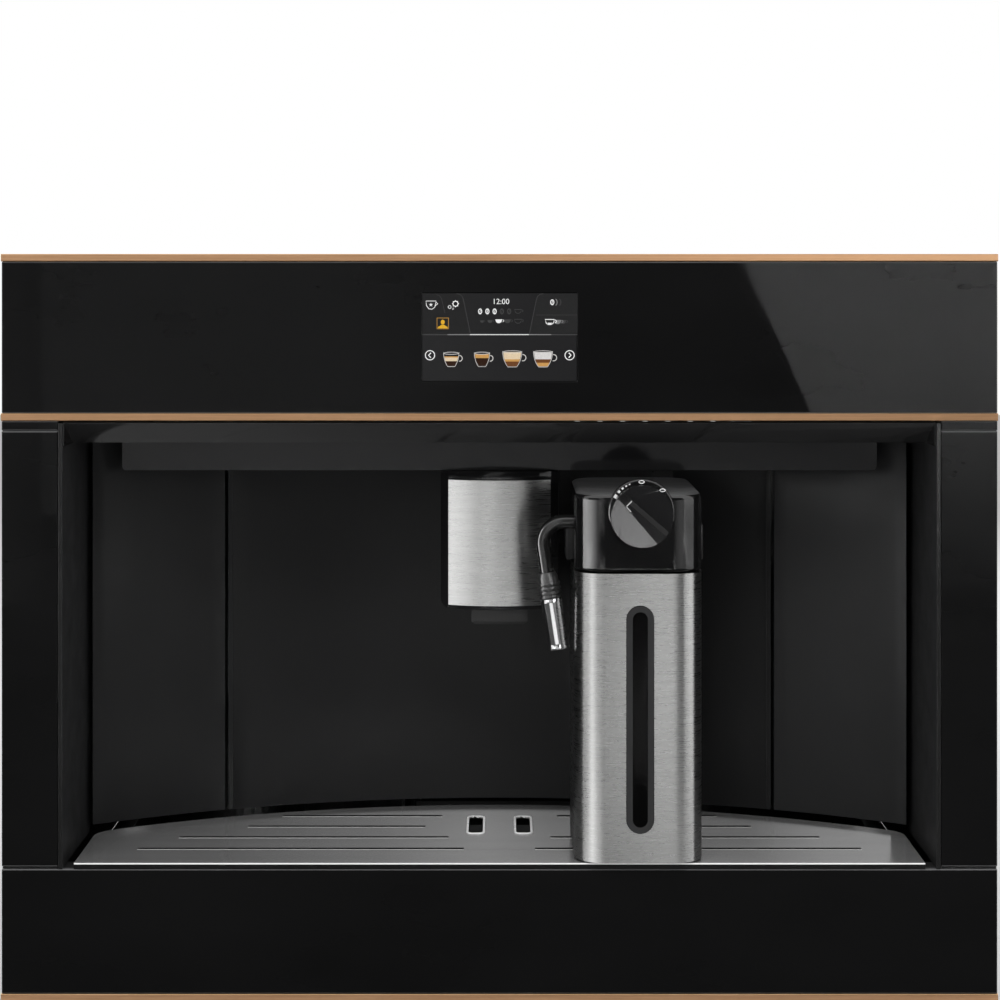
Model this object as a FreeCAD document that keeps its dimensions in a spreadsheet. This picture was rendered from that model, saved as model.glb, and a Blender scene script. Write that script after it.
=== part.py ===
"""Built-in coffee machine with a docked milk jug.

Every sub-part is drawn in the facade's own frame: x to the right, y into the cabinet from the
front of the glass, z up from the facade's bottom edge. Its Placement then sets it over the
origin, which lies under the middle of the whole machine, on the shelf that the rails stand on.
"""
import FreeCAD, Part
import math
import os
import re

import Sketcher

Vector = FreeCAD.Vector
doc = FreeCAD.newDocument("BuiltInCoffeeMachine")
sheet = doc.addObject("Spreadsheet::Sheet", "Dims")
names = []


# ---------------------------------------------------------------- the sheet of dimensions

def size(name, value):
    """Add one driving dimension in millimetres, degrees or a count."""
    names.append(name)
    row = len(names)
    sheet.set(f"A{row}", name)
    sheet.set(f"B{row}", str(value))
    sheet.setAlias(f"B{row}", name)


def derive(name, formula):
    """Add a place or size that follows from the driving dimensions."""
    size(name, "=" + formula)


def bound(formula):
    """The formula with every dimension in it pointing at the sheet."""
    return re.sub(r"[a-z_]\w*", lambda word: prefixed(word.group()), str(formula))


def prefixed(word):
    return "Dims." + word if word in names else word


def num(formula):
    """The present value of a formula of dimensions."""
    return float(sheet.evalExpression(str(formula)))


# facade
size("facade_width", 597)
size("facade_height", 447.6)
size("facade_depth", 20)
size("facade_lift", 4)
size("seat_proud", 1)
size("body_gap", 0.2)
size("machine_depth", 470)
size("trim_height", 4.5)
size("trim_proud", 0.6)
size("glass_thick", 4)
size("glass_edge", 0.5)
size("panel_gap", 0.2)
size("seat_gap", 0.3)
size("middle_trim_z", 347.6)
size("cap_bottom_z", 341.9)
size("column_gap", 0.6)
size("column_edge", 0.3)
size("lower_glass_top_z", 79)
size("column_bottom_z", 80.8)
size("display_width", 92.6)
size("display_height", 52.7)
size("display_z", 397.8)
size("display_x", 0)
size("display_depth", 7)
# niche
size("niche_width", 523.6)
size("niche_wall", 2.5)
size("niche_corner_depth", 96)
size("niche_top_z", 346.2)
size("arc_radius", 460)
size("arc_depth", 157.5)
size("back_thick", 2.5)
size("back_bottom_z", 87.4)
size("back_top_gap", 0.5)
size("back_side_gap", 4.5)
size("door_width", 352.8)
size("door_gap", 2)
size("door_skirt_depth", 18)
size("door_skirt_thick", 3)
size("panel_rim_width", 8)
size("hinge_radius", 5)
size("hinge_length", 24)
size("hinge_inset", 20)
size("catch_height", 12)
size("catch_reach", 12)
size("catch_z", 110)
size("lip_depth", 29.4)
size("lip_low_z", 332.7)
size("cheek_low_z", 332.4)
size("cheek_thick", 0.8)
size("canopy_side_gap", 23.8)
size("canopy_front", 76)
size("canopy_low_z", 312)
size("canopy_lean", 1)
size("canopy_corner", 2.5)
size("lamp_radius", 11)
size("lamp_thick", 3)
size("lamp_gap", 0.1)
size("lamp_spacing", 150)
size("lamp_y", 112)
size("lamp_tray_width", 230)
# drip tray
size("grid_side_gap", 6.8)
size("grid_top_z", 82.9)
size("grid_thick", 1)
size("grid_rear_gap", 0.7)
size("grid_corner", 18)
size("grid_slot_width", 3)
size("row_1_y", 35.3)
size("row_1_start", 21.8)
size("row_1_end", 222.2)
size("row_2_y", 65.2)
size("row_2_start", 31.9)
size("row_2_end", 200.6)
size("row_3_y", 94.2)
size("row_3_start", 47.3)
size("row_3_end", 160.6)
size("row_4_y", 123.9)
size("row_4_start", 37.3)
size("row_4_end", 141.2)
size("drain_width", 9)
size("drain_length", 46)
size("drain_spacing", 30.2)
size("drain_y", 98)
size("drain_corner", 3)
size("drain_rim", 1.3)
size("drain_rim_height", 0.7)
size("tray_lip_z", 79.2)
size("tray_floor_z", 55)
size("tray_wall", 2)
size("tray_front", 24)
size("float_play", 0.6)
size("float_height", 12)
size("float_half", 14)
size("stem_half", 9)
# coffee spout
size("spout_width", 74)
size("spout_front", 62)
size("spout_top_z", 311.7)
size("spout_low_z", 225.7)
size("spout_rear", 134)
size("spout_face_width", 65)
size("spout_face_sagitta", 8)
size("spout_face_low_z", 228)
size("spout_face_top_z", 306.5)
size("spout_face_thick", 1)
size("spout_play", 0.3)
size("spout_corner", 6)
size("spout_step", 4)
size("guide_width", 46)
size("guide_low_z", 227)
size("guide_thick", 4)
size("guide_undercut", 6)
size("outlet_width", 35.5)
size("outlet_low_z", 213.2)
size("outlet_y", 98)
size("outlet_depth", 26)
size("outlet_bore", 3)
size("outlet_bore_depth", 8)
size("outlet_spacing", 18)
# milk jug
size("jug_x", 83.5)
size("jug_width", 77)
size("jug_front", -5)
size("jug_depth", 115)
size("jug_low_z", 84)
size("jug_top_z", 256.6)
size("jug_corner", 18)
size("jug_skin", 0.8)
size("jug_liner_wall", 2)
size("jug_foot", 3)
size("window_width", 16.8)
size("window_low_z", 101.4)
size("window_top_z", 237.7)
size("window_rim", 4.2)
size("window_proud", 0.6)
size("window_inset", 0.5)
size("lid_low_z", 257.2)
size("lid_top_z", 305)
size("lid_corner", 18)
size("lid_edge", 5)
size("lid_foot_edge", 2.5)
size("knob_x", 84.5)
size("knob_z", 291.8)
size("knob_radius", 18.4)
size("knob_height", 8)
size("knob_grip_height", 7)
size("knob_grip_width", 9.5)
size("knob_tip_width", 5.2)
size("knob_tip_reach", 12.5)
size("knob_flank", 2.6)
size("knob_angle", 45)
size("knob_slope", 11)
size("knob_shaft_radius", 5)
size("knob_shaft_length", 5.5)
size("dial_radius", 20)
size("dial_rise", 1.8)
size("dial_bore", 5.3)
size("dial_web", 1.5)
size("dial_height", 5)
size("release_travel", 1.5)
size("release_proud", 4)
size("release_width", 26)
size("release_wall", 4)
size("release_inset", 16)
size("release_play", 0.2)
size("release_height", 22)
size("release_z", 270)
size("release_y", 30)
# milk spout
size("pipe_radius", 4.3)
size("pipe_y", 28)
size("pipe_z", 284.5)
size("pipe_bend", 13)
size("pipe_reach", 18.5)
size("pipe_drop", 30)
size("pipe_tilt", 8.5)
size("collar_radius", 7)
size("collar_length", 14)
size("collar_ribs", 4)
size("tip_radius", 6.6)
size("tip_end_radius", 5.9)
size("tip_length", 31)
size("tip_ring", 1.5)
size("swivel_bore_play", 0.05)
# docking port
size("port_left_x", 38)
size("port_right_x", 112)
size("port_low_z", 262)
size("port_front", 112)
size("port_gap", 0.5)
size("nozzle_radius", 4)
size("nozzle_length", 22)
size("nozzle_z", 284)
size("nozzle_play", 0.08)
size("nozzle_flange", 4)
size("nozzle_root", 15)
size("nozzle_recess", 3)
size("port_corner", 4)
# body behind the facade
size("body_width", 552)
size("sheet_thick", 1.2)
size("body_top_z", 442)
size("base_width", 524)
size("base_floor_z", 4)
size("base_wall_z", 42)
size("vent_width", 4)
size("vent_y", 310)
size("rail_height", 41)
size("rail_length", 420)
size("rail_start", 26)
size("rail_sheet", 1.5)
size("rail_play", 0.5)
size("rail_hole_radius", 2.3)
size("rail_hole_front", 70)
size("rail_hole_spacing", 320)
# inside
size("bay_width", 131)
size("bay_front", 172)
size("bay_depth", 120)
size("bay_top_z", 258)
size("shelf_z", 90)
size("brew_width", 84)
size("brew_depth", 90)
size("brew_height", 142)
size("brew_bore", 23)
size("brew_stroke_depth", 70)
size("brew_y", 228)
size("piston_play", 0.06)
size("rod_radius", 8)
size("grounds_width", 118)
size("grounds_wall", 2)
size("grounds_height", 76)
size("grinder_x", -20)
size("grinder_y", 250)
size("grinder_radius", 42)
size("grinder_height", 104)
size("burr_radius", 20)
size("burr_height", 16)
size("hopper_width", 124)
size("hopper_length", 120)
size("hopper_wall", 2)
size("hopper_low_z", 384)
size("hopper_lid_thick", 3)
size("lid_hinge_inset", 3)
size("dial_x", 66)
size("dial_knob_radius", 15)
size("dial_shaft_radius", 4)
size("boiler_x", -185)
size("boiler_y", 250)
size("boiler_radius", 48)
size("boiler_height", 130)
size("boiler_foot", 10)
size("boiler_foot_radius", 4)
size("boiler_cap", 20)
size("pump_x", -185)
size("pump_y", 345)
size("pump_radius", 19)
size("pump_length", 84)
size("pump_lift", 8)
size("pump_inlet_radius", 6)
size("pump_inlet", 14)
size("pump_outlet_radius", 8)
size("pump_outlet", 18)
size("cradle_width", 12)
size("cradle_inset", 8)
size("cradle_wall", 4)
size("tank_x", 219)
size("tank_width", 84)
size("tank_front", 236)
size("tank_length", 160)
size("tank_low_z", 236)
size("tank_wall", 2.5)
size("tank_gap", 1.5)
size("tank_lid_thick", 3)
size("tank_shelf_thick", 2)
size("board_low_z", 190)
size("board_width", 170)
size("board_height", 130)
size("board_thick", 1.6)
size("board_post", 14)
size("board_post_radius", 3.5)
size("board_post_inset", 8)
size("board_part_height", 22)
size("inlet_x", -200)
size("inlet_z", 62)
size("inlet_width", 27)
size("inlet_height", 19.5)
size("inlet_flange", 50)
size("inlet_proud", 2.6)
size("inlet_depth", 20)
size("inlet_wall", 1.5)
size("inlet_screw_radius", 1.75)
size("blade_width", 2)
size("blade_height", 4)
size("blade_spacing", 7)
size("fit_gap", 0.1)
size("switch_x", -140)
size("switch_width", 21)
size("switch_height", 27)
size("rocker_tilt", 8)
size("switch_depth", 18)
size("switch_proud", 2)
size("switch_rim", 2)
size("rocker_pin", 1.6)

# places that follow
derive("facade_half", "facade_width / 2")
derive("body_front", "facade_depth - seat_proud + body_gap")
derive("front_reach", "-jug_front + dial_height + knob_height + knob_grip_height")
derive("whole_depth", "machine_depth + front_reach")
derive("facade_y", "front_reach - whole_depth / 2")
derive("niche_half", "niche_width / 2")
derive("canopy_width", "niche_width - 2 * canopy_side_gap")
derive("back_top_z", "lip_low_z - back_top_gap")
derive("wall_half", "niche_half + niche_wall")
derive("window_half", "wall_half + panel_gap")
derive("arc_centre", "arc_depth - arc_radius")
derive("grid_half", "niche_half - grid_side_gap")
derive("grid_arc", "arc_radius - grid_rear_gap")
derive("body_half", "body_width / 2")
derive("base_half", "base_width / 2")
derive("body_rear", "machine_depth - inlet_proud")
derive("face_radius",
       "(spout_face_width ^ 2 / 4 + spout_face_sagitta ^ 2) / (2 * spout_face_sagitta)")
derive("cover_rear", "body_rear - sheet_thick - body_gap")
derive("jug_left", "jug_x - jug_width / 2")
derive("jug_right", "jug_x + jug_width / 2")
derive("jug_rear", "jug_front + jug_depth")
derive("lid_front", "jug_front")
derive("hopper_front", "grinder_y - hopper_length / 2")
derive("hopper_left", "grinder_x - hopper_width / 2")
doc.recompute()


# ---------------------------------------------------------------- drawing and features

def body(label, x="0", y="0", z="0"):
    """A new sub-part whose own origin lies at x, y, z of the facade's frame."""
    piece = doc.addObject("PartDesign::Body", label)
    piece.Label = label
    piece.setExpression("Placement.Base.x", bound(x))
    piece.setExpression("Placement.Base.y", bound(f"facade_y + ({y})"))
    piece.setExpression("Placement.Base.z", bound(f"facade_lift + ({z})"))
    return piece


def tilt(piece, axis, angle):
    """Turn a sub-part about its own origin by a number of degrees."""
    placement = piece.Placement
    placement.Rotation = FreeCAD.Rotation(axis, num(angle))
    piece.Placement = placement
    piece.setExpression("Placement.Rotation.Angle", bound(f"({angle}) * 1 deg"))


def sketch(piece, plane, level, shapes):
    """A sketch with the given closed shapes, parallel to an origin plane at a level."""
    drawing = piece.newObject("Sketcher::SketchObject", piece.Label + "_sketch")
    role = plane + "_Plane"
    support = [feature for feature in piece.Origin.OriginFeatures if feature.Role == role][0]
    drawing.AttachmentSupport = [(support, "")]
    drawing.MapMode = "FlatFace"
    offset = f"-({level})" if plane == "XZ" else level
    drawing.setExpression("AttachmentOffset.Base.z", bound(offset))
    for shape in shapes:
        shape(drawing)
    return drawing


def fix(drawing, edge, end, u, v):
    """Tie one point of an edge to its place from the sketch's origin."""
    for kind, formula, axis in (("DistanceX", u, -2), ("DistanceY", v, -1)):
        value = num(formula)
        if abs(value) < 1e-9:
            drawing.addConstraint(Sketcher.Constraint("PointOnObject", edge, end, axis))
            continue
        index = drawing.addConstraint(Sketcher.Constraint(kind, -1, 1, edge, end, value))
        drawing.setExpression(f"Constraints[{index}]", bound(formula))


def fix_radius(drawing, edge, radius):
    index = drawing.addConstraint(Sketcher.Constraint("Radius", edge, num(radius)))
    drawing.setExpression(f"Constraints[{index}]", bound(radius))


def arc_between(start, end, radius, bulge):
    """The arc from start to end that bulges to the left (1) or right (-1) of the way."""
    chord = end - start
    rise = math.sqrt(radius ** 2 - (chord.Length / 2) ** 2)
    left = Vector(-chord.y, chord.x, 0).normalize()
    centre = (start + end) / 2 - left * rise * bulge
    first, last = (end, start) if bulge > 0 else (start, end)
    from_angle = math.atan2(first.y - centre.y, first.x - centre.x)
    to_angle = math.atan2(last.y - centre.y, last.x - centre.x)
    if to_angle < from_angle:
        to_angle += 2 * math.pi
    circle_line = Part.Circle(centre, Vector(0, 0, 1), radius)
    return Part.ArcOfCircle(circle_line, from_angle, to_angle)


def poly(*corners):
    """Closed outline. A corner (u, v, radius, bulge) is left by an arc, a plain one by a line."""
    def draw(drawing):
        points = [Vector(num(corner[0]), num(corner[1]), 0) for corner in corners]
        edges = []
        for index, corner in enumerate(corners):
            start = points[index]
            end = points[(index + 1) % len(points)]
            if len(corner) == 2:
                edge = drawing.addGeometry(Part.LineSegment(start, end), False)
                edges.append((edge, 1, 2))
                continue
            arc = arc_between(start, end, num(corner[2]), corner[3])
            edge = drawing.addGeometry(arc, False)
            edges.append((edge, 2, 1) if corner[3] > 0 else (edge, 1, 2))
        for index, (edge, _, tail) in enumerate(edges):
            following, head, _ = edges[(index + 1) % len(edges)]
            drawing.addConstraint(Sketcher.Constraint("Coincident", edge, tail, following, head))
        for (edge, head, _), corner in zip(edges, corners):
            fix(drawing, edge, head, corner[0], corner[1])
            if len(corner) == 4:
                fix_radius(drawing, edge, corner[2])
    return draw


def rect(left, low, right, high):
    return poly((left, low), (right, low), (right, high), (left, high))


def mirrored_rects(inner, low, outer, high):
    """The same rectangle on the right and on the left."""
    return (rect(inner, low, outer, high),
            rect(f"-({outer})", low, f"-({inner})", high))


def circle(u, v, radius):
    def draw(drawing):
        centre = Vector(num(u), num(v), 0)
        edge = drawing.addGeometry(Part.Circle(centre, Vector(0, 0, 1), num(radius)), False)
        fix(drawing, edge, 3, u, v)
        fix_radius(drawing, edge, radius)
    return draw


def slot(left, low, right, high):
    """Round-ended slot, along whichever side of its box is the longer."""
    def draw(drawing):
        level = num(f"({right}) - ({left})") > num(f"({high}) - ({low})")
        if level:
            radius = f"((({high}) - ({low})) / 2)"
            first = (f"{left} + {radius}", f"({low} + {radius})")
            second = (f"{right} - {radius}", f"({low} + {radius})")
            turn_to = math.pi / 2
        else:
            radius = f"((({right}) - ({left})) / 2)"
            first = (f"{left} + {radius}", f"{low} + {radius}")
            second = (f"{left} + {radius}", f"{high} - {radius}")
            turn_to = math.pi
        reach = num(radius)
        ends = [Vector(num(u), num(v), 0) for u, v in (first, second)]
        side = Vector(math.cos(turn_to), math.sin(turn_to), 0) * reach
        arcs = []
        for centre, start in zip(ends, (turn_to, turn_to + math.pi)):
            ring = Part.Circle(centre, Vector(0, 0, 1), reach)
            arc = Part.ArcOfCircle(ring, start, start + math.pi)
            arcs.append(drawing.addGeometry(arc, False))
        near_line = Part.LineSegment(ends[0] - side, ends[1] - side)
        far_line = Part.LineSegment(ends[1] + side, ends[0] + side)
        lines = [drawing.addGeometry(line, False) for line in (near_line, far_line)]
        for arc, tail, following in ((arcs[0], 2, lines[0]), (arcs[1], 2, lines[1])):
            drawing.addConstraint(Sketcher.Constraint("Tangent", arc, tail, following, 1))
        for line, following in ((lines[0], arcs[1]), (lines[1], arcs[0])):
            drawing.addConstraint(Sketcher.Constraint("Tangent", line, 2, following, 1))
        drawing.addConstraint(Sketcher.Constraint("Equal", arcs[0], arcs[1]))
        for arc, (u, v) in zip(arcs, (first, second)):
            fix(drawing, arc, 3, u, v)
        fix_radius(drawing, arcs[0], radius)
    return draw


def volume_of(piece):
    return piece.Shape.Volume if piece.Tip else 0.0


def pad(piece, plane, low, high, *shapes):
    """Solid between two levels of the plane's normal."""
    level = high if plane == "XZ" else low
    drawing = sketch(piece, plane, level, shapes)
    before = volume_of(piece)
    feature = piece.newObject("PartDesign::Pad", piece.Label + "_pad")
    feature.Profile = drawing
    feature.setExpression("Length", bound(f"({high}) - ({low})"))
    doc.recompute()
    if piece.Shape.Volume <= before:
        raise ValueError(f"{piece.Label}: a pad added nothing")


def cut(piece, plane, low, high, *shapes):
    """Pocket between two levels of the plane's normal."""
    level = low if plane == "XZ" else high
    drawing = sketch(piece, plane, level, shapes)
    before = piece.Shape.Volume
    feature = piece.newObject("PartDesign::Pocket", piece.Label + "_pocket")
    feature.Profile = drawing
    feature.setExpression("Length", bound(f"({high}) - ({low})"))
    doc.recompute()
    if piece.Shape.Volume >= before:
        raise ValueError(f"{piece.Label}: a pocket cut nothing")


def turn(piece, plane, axis, *shapes):
    """Solid of revolution about the sketch's horizontal (H) or vertical (V) axis."""
    drawing = sketch(piece, plane, "0", shapes)
    feature = piece.newObject("PartDesign::Revolution", piece.Label + "_turn")
    feature.Profile = drawing
    feature.ReferenceAxis = (drawing, [axis + "_Axis"])
    feature.Angle = 360
    doc.recompute()


def bore(piece, plane, axis, *shapes):
    """Turned hole about the sketch's horizontal (H) or vertical (V) axis."""
    drawing = sketch(piece, plane, "0", shapes)
    before = piece.Shape.Volume
    feature = piece.newObject("PartDesign::Groove", piece.Label + "_bore")
    feature.Profile = drawing
    feature.ReferenceAxis = (drawing, [axis + "_Axis"])
    feature.Angle = 360
    doc.recompute()
    if piece.Shape.Volume >= before:
        raise ValueError(f"{piece.Label}: a bore cut nothing")


def repeat(piece, axis, step, count):
    """Repeat the last feature along its sketch's H or V axis or its normal (N)."""
    last = piece.Tip
    feature = piece.newObject("PartDesign::LinearPattern", piece.Label + "_row")
    feature.Originals = [last]
    feature.Direction = (last.Profile[0], [axis + "_Axis"])
    feature.setExpression("Length", bound(f"({step}) * (({count}) - 1)"))
    feature.setExpression("Occurrences", bound(count))
    piece.Tip = feature
    doc.recompute()


def local_edges(piece, test):
    """Names of the tip's edges that pass a test on the edge in the sub-part's own frame."""
    edges = piece.Tip.Shape.Edges
    return [f"Edge{index + 1}" for index, edge in enumerate(edges) if test(edge)]


def dress(piece, kind, sizing, amount, test):
    base = piece.Tip
    chosen = local_edges(piece, test)
    if not chosen:
        raise ValueError(f"{piece.Label}: no edge to {kind}")
    feature = piece.newObject("PartDesign::" + kind, piece.Label + "_" + kind.lower())
    feature.Base = (base, chosen)
    feature.setExpression(sizing, bound(amount))
    doc.recompute()


def fillet(piece, radius, test):
    dress(piece, "Fillet", "Radius", radius, test)


def chamfer(piece, width, test):
    dress(piece, "Chamfer", "Size", width, test)


def along(edge, axis):
    """Whether a straight edge runs along an axis of the sub-part's frame."""
    if edge.Curve.TypeId != "Part::GeomLine":
        return False
    run = edge.Vertexes[-1].Point - edge.Vertexes[0].Point
    return abs(abs(run.dot(axis)) - run.Length) < 1e-6


def near(value, formula):
    return abs(value - num(formula)) < 0.01


UP = Vector(0, 0, 1)
ACROSS = Vector(1, 0, 0)
INWARD = Vector(0, 1, 0)


# ---------------------------------------------------------------- facade

def facade_frame():
    """Moulded carrier behind the glass, open at the niche and the display.

    The strips left proud along its sides lie on the cabinet's front.
    """
    piece = body("facade_frame")
    high = "facade_height - trim_height"
    window = rect("-window_half", "lower_glass_top_z", "window_half", "middle_trim_z")
    screen = rect("display_x - display_width / 2 - 2", "display_z - display_height / 2 - 2",
                  "display_x + display_width / 2 + 2", "display_z + display_height / 2 + 2")
    outside = rect("-facade_half", "trim_height", "facade_half", high)
    pad(piece, "XZ", "glass_thick", "facade_depth", outside, window, screen)
    cut(piece, "XZ", "facade_depth - seat_proud", "facade_depth",
        rect("-body_half - 1", "trim_height", "body_half + 1", high))


def front_edges(piece):
    """Grind the front edges of a flat glass piece."""
    chamfer(piece, "glass_edge", lambda edge: all(abs(p.Point.y) < 1e-6 for p in edge.Vertexes))


def glass_panels():
    """Flat black panels above and below the niche; the upper one has the screen's window."""
    side = "(facade_half - column_edge)"
    screen = rect("display_x - display_width / 2", "display_z - display_height / 2",
                  "display_x + display_width / 2", "display_z + display_height / 2")
    upper = body("glass_upper")
    pad(upper, "XZ", "0", "glass_thick",
        rect(f"-{side}", "middle_trim_z + trim_height + panel_gap", side,
             "facade_height - trim_height - panel_gap"), screen)
    front_edges(upper)
    lower = body("glass_lower")
    pad(lower, "XZ", "0", "glass_thick",
        rect(f"-{side}", "trim_height + panel_gap", side, "lower_glass_top_z"))
    front_edges(lower)


def glass_columns():
    """Upright glass beside the niche and the short cap over it, left and right."""
    piece = body("glass_columns")
    outer = "facade_half - column_edge"
    inner = "wall_half + panel_gap"
    pad(piece, "XZ", "0", "glass_thick",
        *mirrored_rects(inner, "column_bottom_z", outer, "cap_bottom_z - column_gap"),
        *mirrored_rects(inner, "cap_bottom_z", outer, "middle_trim_z - panel_gap"))
    front_edges(piece)


def trims():
    """Three copper-coloured strips across the facade."""
    rows = (("trim_top", "facade_height - trim_height", "facade_depth - seat_proud"),
            ("trim_middle", "middle_trim_z", "glass_thick"),
            ("trim_bottom", "0", "facade_depth - seat_proud"))
    for label, low, depth in rows:
        piece = body(label)
        pad(piece, "XZ", "-trim_proud", depth,
            rect("-facade_half", low, "facade_half", f"{low} + trim_height"))
        fillet(piece, "trim_proud", lambda edge: near(edge.CenterOfMass.y, "-trim_proud")
               and along(edge, ACROSS))


def display_screen():
    """Touch screen in the upper glass, with its board behind."""
    piece = body("display_screen", "display_x", "0", "display_z")
    half = "display_width / 2 - 0.1"
    rise = "display_height / 2 - 0.1"
    pad(piece, "XZ", "0.1", "display_depth", rect(f"-({half})", f"-({rise})", half, rise))
    pad(piece, "XZ", "glass_thick + 0.2", "display_depth",
        rect(f"-({half} + 1.6)", f"-({rise} + 1.6)", f"{half} + 1.6", f"{rise} + 1.6"))


# ---------------------------------------------------------------- niche

def niche_walls():
    """Side walls of the niche; their front edges frame the opening."""
    piece = body("niche_walls")
    pad(piece, "XY", "lower_glass_top_z + panel_gap", "niche_top_z",
        rect("-wall_half", "0", "-niche_half", "niche_corner_depth"),
        rect("niche_half", "0", "wall_half", "niche_corner_depth"))


def niche_lip():
    """Sloping top panel of the niche with its end cheeks and the flat roof behind it."""
    piece = body("niche_lip")
    half = "niche_half - seat_gap"
    pad(piece, "YZ", f"-({half})", half,
        poly(("0", "niche_top_z"), ("lip_depth", "lip_low_z"), ("arc_depth", "lip_low_z"),
             ("arc_depth", "lip_low_z + niche_wall"),
             ("lip_depth", "lip_low_z + niche_wall"), ("2", "niche_top_z + 1")))
    for left, right in ((f"-({half})", f"-({half}) + cheek_thick"), (f"{half} - cheek_thick", half)):
        pad(piece, "YZ", left, right,
            poly(("0", "niche_top_z"), ("0", "cheek_low_z"), ("lip_depth", "cheek_low_z"),
                 ("lip_depth", "lip_low_z")))


def canopy():
    """Glossy apron that leans a little forward, with the lamp housing behind it."""
    piece = body("canopy")
    rear = "arc_centre + sqrt(arc_radius ^ 2 - (canopy_width / 2) ^ 2) - 1"
    pad(piece, "YZ", "-canopy_width / 2", "canopy_width / 2",
        poly(("canopy_front - canopy_lean", "lip_low_z - panel_gap"),
             ("canopy_front", "canopy_low_z"), (f"{rear}", "canopy_low_z"),
             (f"{rear}", "lip_low_z - panel_gap")))
    pad(piece, "XY", "canopy_low_z", "lip_low_z - panel_gap",
        rect("-lamp_tray_width / 2", "canopy_front + 2", "lamp_tray_width / 2",
             "lamp_y + lamp_radius + 6"))
    fillet(piece, "canopy_corner", lambda edge: near(edge.CenterOfMass.z, "canopy_low_z")
           and along(edge, INWARD) and abs(edge.CenterOfMass.x) > num("canopy_width / 2 - 1"))
    cut(piece, "XY", "canopy_low_z", "canopy_low_z + lamp_thick",
        circle("-lamp_spacing / 2", "lamp_y", "lamp_radius + lamp_gap"),
        circle("lamp_spacing / 2", "lamp_y", "lamp_radius + lamp_gap"))


def cup_lights():
    """Two round lamps flush with the canopy's underside."""
    piece = body("cup_lights")
    pad(piece, "XY", "canopy_low_z", "canopy_low_z + lamp_thick",
        circle("-lamp_spacing / 2", "lamp_y", "lamp_radius"),
        circle("lamp_spacing / 2", "lamp_y", "lamp_radius"))
    chamfer(piece, "0.4", lambda edge: near(edge.CenterOfMass.z, "canopy_low_z"))


def arc_y(x, radius):
    """Depth of a wall of that radius, concentric with the back of the niche, at x."""
    return f"arc_centre + sqrt(({radius}) ^ 2 - ({x}) ^ 2)"


def curved_wall(left, right):
    """Plan of a back panel between two places across the niche."""
    outer = "arc_radius + back_thick"
    return poly((left, arc_y(left, "arc_radius"), "arc_radius", 1),
                (right, arc_y(right, "arc_radius")),
                (right, arc_y(right, outer), outer, -1),
                (left, arc_y(left, outer)))


def back_panels():
    """Curved panels on each side of the service door."""
    outer = "niche_half - back_side_gap"
    inner = "door_width / 2 + door_gap"
    for label, left, right in (("back_panel_left", f"-({outer})", f"-({inner})"),
                               ("back_panel_right", inner, outer)):
        piece = body(label)
        pad(piece, "XY", "back_bottom_z", "back_top_z", curved_wall(left, right))
        edge_x = right if label == "back_panel_left" else left
        rim_left, rim_right = ((f"{edge_x} - panel_rim_width", edge_x)
                               if label == "back_panel_left"
                               else (edge_x, f"{edge_x} + panel_rim_width"))
        front = arc_y(edge_x, "arc_radius")
        pad(piece, "XZ", front, f"{front} + 2 * panel_rim_width",
            rect(rim_left, "back_bottom_z", rim_right, "back_top_z"))


def service_door():
    """Curved door with a turned-in skirt, hinge barrels at the left and a catch at the right."""
    piece = body("service_door")
    half = "door_width / 2"
    pad(piece, "XY", "back_bottom_z", "back_top_z", curved_wall(f"-({half})", half))
    edge_y = arc_y(half, "arc_radius")
    for left, right in ((f"-({half})", f"-({half}) + door_skirt_thick"),
                        (f"{half} - door_skirt_thick", half)):
        pad(piece, "XY", "back_bottom_z", "back_top_z",
            rect(left, f"{edge_y} + 1", right, f"{edge_y} + door_skirt_depth"))
    for low in ("back_bottom_z + hinge_inset", "back_top_z - hinge_inset - hinge_length"):
        pad(piece, "XY", low, f"{low} + hinge_length",
            circle(f"-({half}) + hinge_radius + 1",
                   f"{edge_y} + door_skirt_depth + hinge_radius - 2", "hinge_radius"))
    catch_y = f"{edge_y} + door_skirt_depth - catch_reach / 2"
    pad(piece, "XY", "back_bottom_z + catch_z", "back_bottom_z + catch_z + catch_height",
        poly((f"{half} - catch_reach", catch_y), (half, catch_y),
             (half, f"{catch_y} + catch_reach"),
             (f"{half} - catch_reach / 2", f"{catch_y} + catch_reach")))
    cut(piece, "XZ", "arc_depth - 30", "arc_depth + 6",
        rect("port_left_x - port_gap", "port_low_z - port_gap", "port_right_x + port_gap",
             "back_top_z + 1"))



def port_housing():
    """Docking block for the milk jug, standing out of the back wall."""
    piece = body("port_housing")
    pad(piece, "XZ", "port_front", "bay_front",
        rect("port_left_x", "port_low_z", "port_right_x", "canopy_low_z - seat_gap"))
    fillet(piece, "port_corner",
           lambda edge: along(edge, INWARD) and near(edge.CenterOfMass.z, "port_low_z"))
    cut(piece, "XZ", "port_front", "port_front + nozzle_recess",
        circle("jug_x", "nozzle_z", "nozzle_radius + nozzle_flange + 1"))
    cut(piece, "XZ", "port_front + nozzle_recess", "port_front + nozzle_recess + nozzle_root + 0.2",
        circle("jug_x", "nozzle_z", "nozzle_radius + nozzle_play"))



def steam_nozzle():
    """Nozzle that feeds steam into the milk lid, with its flange and tapered mouth."""
    piece = body("steam_nozzle", "jug_x", "port_front + nozzle_recess", "nozzle_z")
    mouth = "2 - nozzle_length"
    wide = "nozzle_radius + nozzle_flange"
    turn(piece, "YZ", "H", poly(("nozzle_root", "0"), ("nozzle_root", "nozzle_radius"),
                                ("0", "nozzle_radius"), ("0", wide), ("-2", wide),
                                ("-2", "nozzle_radius"), (f"{mouth} + 1", "nozzle_radius"),
                                (mouth, "nozzle_radius - 1"), (mouth, "0")))
    cut(piece, "XZ", mouth, "0", circle("0", "0", "nozzle_radius / 2"))


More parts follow.
